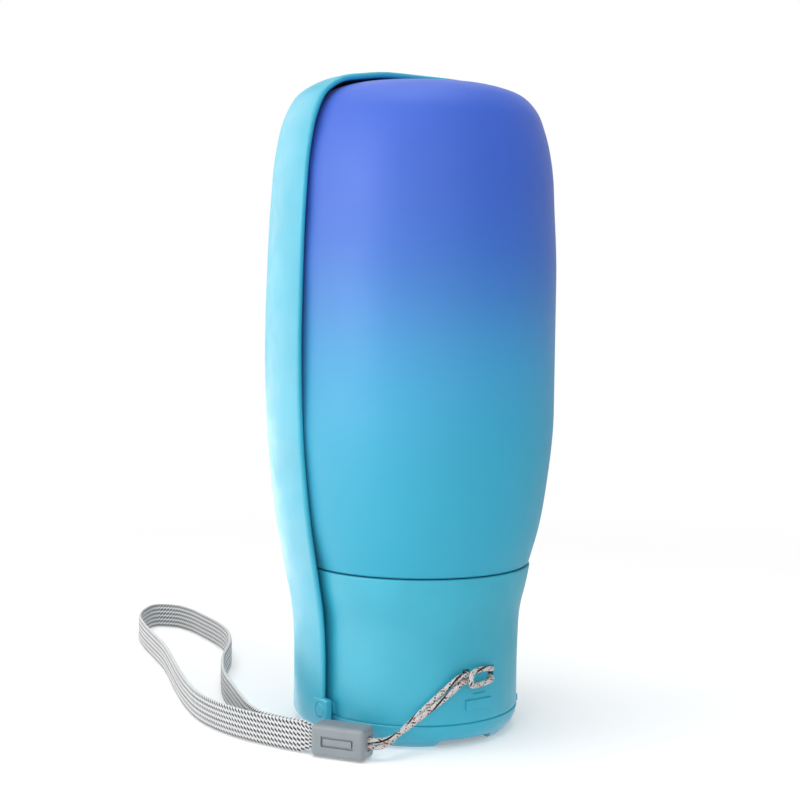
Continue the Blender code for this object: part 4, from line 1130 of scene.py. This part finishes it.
def fine_collar(finish):
    collar = solid("fine_collar", lathe(collar_outline()), finish)
    start = NECK_END + THREAD_START + THREAD_PITCH / 2
    crest = BORE_OF_COLLAR - THREAD_DEPTH
    join(collar, "thread", thread(BORE_OF_COLLAR, crest, start))
    wall_middle = COLLAR_RADIUS - COLLAR_WALL / 2
    boss_top = COLLAR_BOTTOM + HINGE_BOSS_HEIGHT
    boss_face = EAR_INNER - WASHER_THICKNESS - 2 * FIT
    for side, name in SIDES:
        boss = box(
            (-HINGE_BOSS_HALF_WIDTH, boss_face - HINGE_BOSS_DEPTH, COLLAR_BOTTOM),
            (HINGE_BOSS_HALF_WIDTH, boss_face, boss_top),
            HINGE_BOSS_ROUND,
        )
        if side < 0:
            turned_about_z(boss, math.pi)
        join(collar, f"hinge_boss_{name}", boss)
        near, far = boss_face - HINGE_BOSS_DEPTH - OVERRUN, boss_face + OVERRUN
        hole = hinge_rod(PIN_RADIUS + FIT, side, near, far)
        cut(collar, f"pin_hole_{name}", hole)
        near, far = side * BAR_HALF_WIDTH, side * (BAR_HALF_WIDTH + HOLE_WIDTH)
        hole = box(
            (wall_middle - COLLAR_WALL - OVERRUN, min(near, far), HOLE_BOTTOM),
            (wall_middle + COLLAR_WALL, max(near, far), HOLE_TOP),
        )
        cut(collar, f"lanyard_hole_{name}", hole)
    plate = box(
        (wall_middle, -PLATE_HALF_WIDTH, PLATE_BOTTOM),
        (COLLAR_RADIUS + PLATE_PROUD, PLATE_HALF_WIDTH, PLATE_TOP),
        PLATE_ROUND,
    )
    join(collar, "plate", plate)
    groove = box(
        (COLLAR_RADIUS - GROOVE_DEPTH, -GROOVE_HALF_WIDTH, GROOVE_BOTTOM),
        (COLLAR_RADIUS + OVERRUN, GROOVE_HALF_WIDTH, GROOVE_TOP),
    )
    cut(collar, "groove", groove)
    mark_way = Vector((math.cos(MARK_TURN), math.sin(MARK_TURN), 0))
    up = Vector((0, 0, MARK_HEIGHT))
    mark = rod(
        MARK_RADIUS,
        mark_way * (COLLAR_RADIUS - COLLAR_WALL / 2) + up,
        mark_way * (COLLAR_RADIUS + MARK_PROUD) + up,
        MARK_STEPS,
    )
    out = COLLAR_RADIUS + MARK_PROUD / 2
    tip = [edge for edge in mark.edges if all(vert.co.xy.length > out for vert in edge.verts)]
    round_edges(mark, tip, MARK_TIP_ROUND)
    join(collar, "mark", mark)
    screw_end = FLOOR_UNDERSIDE + SCREW_LENGTH + OVERRUN / 2
    screw_hole = upright_rod(SCREW_RADIUS + FIT, 0, 0, PAD_BOTTOM - OVERRUN, screw_end)
    cut(collar, "screw_hole", screw_hole)
    below, above = DECK_UNDERSIDE - OVERRUN, DECK_HEIGHT + OVERRUN
    port = upright_rod(SPIGOT_RADIUS + FIT, -PORT_DISTANCE, 0, below, above)
    cut(collar, "outlet_port", port)
    vent = upright_rod(VENT_STEM_RADIUS + FIT, PORT_DISTANCE, 0, below, above)
    cut(collar, "vent_port", vent)
    return baked(collar)


def foot_gap():
    """A gap between two feet, a little wider at the floor than at its top."""
    slope = FOOT_GAP_SLANT / FOOT_GAP_HEIGHT
    low = FOOT_GAP_WIDTH / 2 + slope * OVERRUN
    high, top = FOOT_GAP_WIDTH / 2 - FOOT_GAP_SLANT, FOOT_GAP_HEIGHT
    outline = ((-low, -OVERRUN), (low, -OVERRUN), (high, top), (-high, top))
    bm = bmesh.new()
    ends = (RING_FOOT_RADIUS - RING_WALL - OVERRUN, RING_RADIUS + OVERRUN)
    skin(bm, [[bm.verts.new((x, y, z)) for y, z in outline] for x in ends])
    return bm


def fine_ring(finish):
    size = (RING_RADIUS - RING_FOOT_RADIUS, RING_HEIGHT)
    side = smooth(
        spread(RING_SIDE_SHARES, (RING_FOOT_RADIUS, 0), size), SPAN_STEPS, last_way=(0, 1)
    )
    hole = SCREW_RADIUS + FIT
    outline = [
        *side,
        *rounded(RING_RADIUS + RING_LEDGE, RING_HEIGHT + RING_RISE, RING_ROUND),
        (hole, RING_HEIGHT + RING_RISE),
        (hole, FLOOR_UNDERSIDE),
        (RING_RADIUS - RING_WALL, FLOOR_UNDERSIDE),
        (RING_FOOT_RADIUS - RING_WALL, 0),
    ]
    ring = solid("fine_ring", lathe(outline), finish)
    for gap in range(FOOT_GAP_COUNT):
        turn = FOOT_GAP_TURN + 2 * math.pi * gap / FOOT_GAP_COUNT
        cut(ring, f"foot_gap_{gap}", turned_about_z(foot_gap(), turn))
    # While the bottle is shut, the port stands a turn of the lock away from the outlet
    angle = math.pi - LOCK_TURN
    x, y = PORT_DISTANCE * math.cos(angle), PORT_DISTANCE * math.sin(angle)
    below, above = FLOOR_UNDERSIDE - OVERRUN, RING_HEIGHT + OVERRUN
    port = upright_rod(BORE_RADIUS + FIT, x, y, below, above)
    cut(ring, "port", port)
    return baked(ring)


def trough_stations():
    """(height, half width, depth, out, up) down the trough's wall, with the wall's normal."""
    low = TROUGH_BOTTOM + TROUGH_CHAMFER
    table = [
        (low + (TROUGH_TOP - low) * up, TROUGH_HALF_WIDTH * wide, TROUGH_DEPTH * deep)
        for up, wide, deep in TROUGH_SHARES
    ]
    curve = smooth(table, SPAN_STEPS, (1, 0, 0), (0, -1, -1))[::-1]
    stations = []
    for index, (height, half_width, depth) in enumerate(curve):
        above, below = around(curve, index)
        rise = above[0] - below[0]
        widening = (below[1] + below[2] - above[1] - above[2]) / 2
        length = math.hypot(rise, widening)
        out, up = (0, 1) if index == 0 else (rise / length, widening / length)
        stations.append((height, half_width, depth, out, up))
    return stations


def trough_chains(angle, stations):
    """Paired outer and inner points of the wall in one direction, from the top to the cut-out."""
    along, across = math.cos(angle), max(0, math.sin(angle))
    side = math.copysign(abs(along) ** (2 / TROUGH_FULLNESS), along)
    back = across ** (2 / TROUGH_FULLNESS)
    outer, inner = [], []
    for height, half_width, depth, out, up in stations:
        inward = TROUGH_WALL * out
        outer.append((-depth * back, half_width * side, height))
        inner.append(
            (-(depth - inward) * back, (half_width - inward) * side, height - TROUGH_WALL * up)
        )
    half_width, depth = stations[-1][1:3]
    chamfer = TROUGH_RIM_CHAMFER + (TROUGH_CHAMFER - TROUGH_RIM_CHAMFER) * back
    floor_top = TROUGH_BOTTOM + TROUGH_WALL
    for share, lift in CHAMFER_STEPS:
        inward = chamfer * share
        height = TROUGH_BOTTOM + (stations[-1][0] - TROUGH_BOTTOM) * lift
        outer.append((-(depth - inward) * back, (half_width - inward) * side, height))
        inner.append(inner[-1])
    inner[-1] = (-(depth - TROUGH_WALL) * back, (half_width - TROUGH_WALL) * side, floor_top)
    cut_out = (-CUT_OUT_RADIUS * back, CUT_OUT_RADIUS * side)
    outer.append((*cut_out, TROUGH_BOTTOM))
    inner.append((*cut_out, floor_top))
    return outer, inner


def trough_shape():
    """The shell as one loft of closed wall sections, with a rounded rim at both of its ends."""
    stations = trough_stations()
    sections = [(0.0, turn) for turn in RIM_TURNS]
    sections += [(math.pi * step / TROUGH_SECTIONS, 0) for step in range(TROUGH_SECTIONS + 1)]
    sections += [(math.pi, turn) for turn in reversed(RIM_TURNS)]
    bm = bmesh.new()
    loops = []
    for angle, lip in sections:
        outer, inner = trough_chains(angle, stations)
        narrow = math.cos(math.radians(lip))
        forward = Vector((TROUGH_WALL / 2 * math.sin(math.radians(lip)), 0, 0))
        loop = []
        for chain, other in ((outer, inner), (inner[::-1], outer[::-1])):
            for point, pair in zip(chain, other):
                point, pair = Vector(point), Vector(pair)
                middle = (point + pair) / 2
                loop.append(bm.verts.new(middle + (point - middle) * narrow + forward))
        loops.append(loop)
    skin(bm, loops, closed=False, capped=False)
    return bm


def fine_trough(finish):
    trough = solid("fine_trough", trough_shape(), finish)
    half = EAR_SIZE / 2
    head_seat = EAR_OUTER - PIN_HEAD_HEIGHT
    for side, name in SIDES:
        ear = box(
            (-half, EAR_INNER, HINGE_HEIGHT - half),
            (half, EAR_OUTER, HINGE_HEIGHT + half),
            EAR_ROUND / 2,
        )
        if side < 0:
            bmesh.ops.scale(ear, vec=(1, -1, 1), verts=ear.verts)
        join(trough, f"ear_{name}", ear)
        hole = hinge_rod(PIN_RADIUS + FIT, side, EAR_INNER - OVERRUN, EAR_OUTER + OVERRUN)
        cut(trough, f"pin_hole_{name}", hole)
        seat_radius = PIN_HEAD_RADIUS + FIT / 5
        seat = hinge_rod(seat_radius, side, head_seat - FIT, EAR_OUTER + OVERRUN)
        cut(trough, f"pin_seat_{name}", seat)
    return baked(trough)


def fine_washer(side, finish):
    """A washer beside the hinge's ear, kept in behind its edge."""
    outer = EAR_INNER - FIT
    inner = outer - WASHER_THICKNESS
    edge = WASHER_BORE + FIT
    washer = lathe([(edge, inner), (edge, outer), (WASHER_BORE, outer), (WASHER_BORE, inner)])
    lie = Matrix.Rotation(math.radians(-90) * side, 4, "X")
    lift = Matrix.Translation((0, 0, HINGE_HEIGHT))
    bmesh.ops.transform(washer, matrix=lift @ lie, verts=washer.verts)
    piece = solid("fine_washer", washer, finish)
    even_shading(piece)
    return piece


def clip_box(low, high, rounding=0.0):
    """A block given in the clip's own frame, centred and with X along it, put in its place."""
    bm = box(low, high, rounding)
    turn = Matrix.Translation(CLIP_MIDDLE) @ Matrix.Rotation(CLIP_TURN, 4, "Z")
    bmesh.ops.transform(bm, matrix=turn, verts=bm.verts)
    return bm


def fine_clip(finish):
    half = Vector((CLIP_LENGTH, CLIP_WIDTH, CLIP_HEIGHT)) / 2
    clip = solid("fine_clip", clip_box(-half, half, CLIP_ROUND), finish)
    pocket_end = half.x - CLIP_END_WALL
    pocket = Vector((0, half.y - CLIP_SIDE_WALL, half.z - CLIP_WALL))
    low = Vector((-half.x - OVERRUN, -pocket.y, -pocket.z))
    cut(clip, "pocket", clip_box(low, (pocket_end, pocket.y, pocket.z)))
    slot_half = CORD_RADIUS + FIT
    slot_low = (pocket_end - OVERRUN, -slot_half, -CLIP_SLOT_HEIGHT / 2)
    slot_high = (half.x + OVERRUN, slot_half, CLIP_SLOT_HEIGHT / 2)
    cut(clip, "cord_slot", clip_box(slot_low, slot_high))
    mark_low = (-CLIP_MARK_LENGTH / 2, -half.y - OVERRUN, -CLIP_MARK_HEIGHT / 2)
    mark_high = (CLIP_MARK_LENGTH / 2, -half.y + CLIP_MARK_DEPTH, CLIP_MARK_HEIGHT / 2)
    cut(clip, "mark", clip_box(mark_low, mark_high))
    inset = Vector((CLIP_GROOVE, 0, CLIP_GROOVE))
    panel_low = Vector((mark_low[0], -half.y + CLIP_PANEL_DEPTH, mark_low[2])) + inset
    panel_high = Vector((mark_high[0], mark_high[1] + FIT, mark_high[2])) - inset
    join(clip, "panel", clip_box(panel_low, panel_high))
    return baked(clip)


def smoothed_copy(node, finish):
    """The CAD piece with smooth curved faces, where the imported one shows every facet."""
    bm = bmesh.new()
    bm.from_mesh(frame["nodes"][node].data)
    bmesh.ops.remove_doubles(bm, verts=bm.verts, dist=MERGE)
    bmesh.ops.dissolve_limit(
        bm, angle_limit=FLAT_ANGLE, verts=bm.verts, edges=bm.edges, delimit={"NORMAL"}
    )
    piece = mesh_object(f"{node}_finish", bm, finish)
    even_shading(piece)
    return piece


make_camera()
CORD_MATERIAL = braided_cord()
twin_cord, cord_path = main_cord()

web_route = [Vector((x + AXIS_X, y)) for x, y in WEB_ROUTE]
web_route = smooth(web_route, WEB_SPAN_STEPS)
webbing, web_path = webbing_band("wrist_webbing", web_route, striped_webbing())
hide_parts("webbing_loop")
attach(webbing, "strap")

# The knot sits just inside the clip's slot
low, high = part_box("cord_knot")
knot_middle = (low + high) / 2
clip_frame = Matrix.Translation(knot_middle) @ Matrix.Rotation(CLIP_TURN, 4, "Z")
knot_points = [clip_frame @ point for point in knot_line()]
knot, _ = braided_tube("end_knot", knot_points, CORD_RADIUS * KNOT_SHARE, CORD_MATERIAL)
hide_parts("cord_knot")
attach(knot, "strap")

FINISHES = {
    "cyan_plastic": moulded("cyan_plastic").material,
    "violet_blue_plastic": faded_bottle(),
    "white_plastic": moulded("white_plastic").material,
    "clear_silicone": silicone(),
    "stainless_steel": turned_steel(),
    "grey_plastic": moulded("grey_plastic").material,
}
FINE = {
    "bottle_body": fine_bottle,
    "cap_collar": fine_collar,
    "lock_ring": fine_ring,
    "trough_shell": fine_trough,
    "strap_clip": fine_clip,
    "hinge_washer_right": lambda finish: fine_washer(-1, finish),
    "hinge_washer_left": lambda finish: fine_washer(1, finish),
}
body_of_node = {
    node: body
    for body, members in frame["record"]["behaviour"]["bodies"].items()
    for node in members
}
for part in frame["record"]["subparts"]:
    node, slot = part["node"], part["material_slot"]
    if slot not in FINISHES:
        continue
    if node in FINE:
        piece = FINE[node](FINISHES[slot])
    else:
        piece = smoothed_copy(node, FINISHES[slot])
    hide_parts(node)
    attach(piece, body_of_node[node])

# Stage and light
FLOOR_RADIUS = 1.2
FLOOR_STEPS = 96
FLOOR_COLOUR = (0.93, 0.93, 0.93, 1)
FLOOR_FADE = (0.16, 0.5)  # from the middle, over which it turns white
FLOOR_SIDES = (-0.2, 0.2)  # over which its reflection changes, towards the left
FLOOR_SHADE, FLOOR_SHINE = -0.7, 2.6  # in reflections, on its right and left
FLOOR_FILL = 0.25  # keeps its shadow pale
PHOTO_LEFT = (-0.6018, -0.7986, 0.0)
WORLD_LIGHT = 0.38
WORLD_SIDES = (-0.7, 0.1)  # over which its reflection brightens, towards the left
WHITE = (1, 1, 1, 1)
LAMPS = {  # place, target, size, power, and whether it is seen in reflections alone
    "key": ((-0.3, -0.76, 0.12), (0, 0, 0.04), (0.6, 0.6), 2.65, False),
    "side_card": ((-0.72, -0.36, 0.25), (0, 0, 0.1), (0.9, 0.9), 5.8, True),
    "front_card": ((0.04, -0.8, 0.2), (0, 0, 0.1), (0.5, 0.9), 7.5, True),
    "front": ((0.65, -0.4, 0.3), (0, 0, 0.06), (0.8, 0.7), 2.6, False),
    "top": ((0.0, -0.1, 0.9), (0, 0, 0.1), (0.7, 0.7), 4.2, False),
}


def make_floor():
    """Pale near the object, and white further off to the camera and in reflections."""
    bm = bmesh.new()
    bmesh.ops.create_circle(bm, cap_ends=True, radius=FLOOR_RADIUS, segments=FLOOR_STEPS)
    made = Surface("studio_floor", 0.9, specular=0.0)
    made.shader.inputs["Base Color"].default_value = FLOOR_COLOUR
    place = made.object_place()
    far = made.clamped(made.vector("LENGTH", place), *FLOOR_FADE)
    ray = made.add("ShaderNodeLightPath").outputs
    seen = made.math("MAXIMUM", ray["Is Camera Ray"], ray["Is Glossy Ray"])
    seen = made.math("MAXIMUM", seen, ray["Is Transmission Ray"])
    side = made.vector("DOT_PRODUCT", place, PHOTO_LEFT)
    shine = made.clamped(side, *FLOOR_SIDES, FLOOR_SHADE, FLOOR_SHINE)
    shine = made.math("MULTIPLY", shine, ray["Is Glossy Ray"])
    lift = made.math("MAXIMUM", made.math("MULTIPLY_ADD", seen, FLOOR_FILL, shine), 0.0)
    fill = made.put(made.add("ShaderNodeEmission"), {"Strength": lift})
    glow = made.put(made.add("ShaderNodeEmission"), {"Strength": made.math("ADD", shine, 1.0)})
    lifted = made.add("ShaderNodeAddShader")
    made.put(lifted, {0: made.shader.outputs[0], 1: fill.outputs[0]})
    share = made.math("MULTIPLY", far, seen)
    surface = made.shaders(share, lifted.outputs[0], glow.outputs[0])
    made.link(surface, made.tree.nodes["Material Output"].inputs["Surface"])
    floor = mesh_object("studio_floor", bm, made.material)


def make_world():
    """White to the camera, dimmer in reflections on one side, with an even light on everything."""
    world = bpy.data.worlds.new("studio")
    world.use_nodes = True
    bpy.context.scene.world = world
    made = Nodes(world.node_tree)
    made.tree.nodes.clear()
    ray = made.add("ShaderNodeLightPath").outputs
    seen = made.math("MAXIMUM", ray["Is Camera Ray"], ray["Is Transmission Ray"])
    way = made.add("ShaderNodeTexCoord").outputs["Generated"]
    share = made.linear(made.vector("DOT_PRODUCT", way, PHOTO_LEFT), *WORLD_SIDES)
    glossy = made.math("MULTIPLY", share, ray["Is Glossy Ray"])
    grounds = [
        made.put(made.add("ShaderNodeBackground"), {"Color": WHITE, "Strength": strength})
        for strength in (WORLD_LIGHT, 1.0)
    ]
    sky = made.shaders(
        made.math("MAXIMUM", seen, glossy), *(ground.outputs[0] for ground in grounds)
    )
    made.link(sky, made.add("ShaderNodeOutputWorld").inputs["Surface"])


def make_lamp(name, place, target, size, power, only_gloss):
    data = bpy.data.lights.new(name, "AREA")
    data.shape = "RECTANGLE"
    data.size, data.size_y = size
    data.energy = power
    lamp = bpy.data.objects.new(name, data)
    lamp.location = place
    lamp.visible_diffuse = not only_gloss
    aim = Vector(target) - Vector(place)
    lamp.rotation_euler = aim.to_track_quat("-Z", "Y").to_euler()
    bpy.context.scene.collection.objects.link(lamp)


make_floor()
make_world()
for name, settings in LAMPS.items():
    make_lamp(name, *settings)

bpy.context.scene.view_settings.view_transform = "Standard"

bpy.context.view_layer.update()
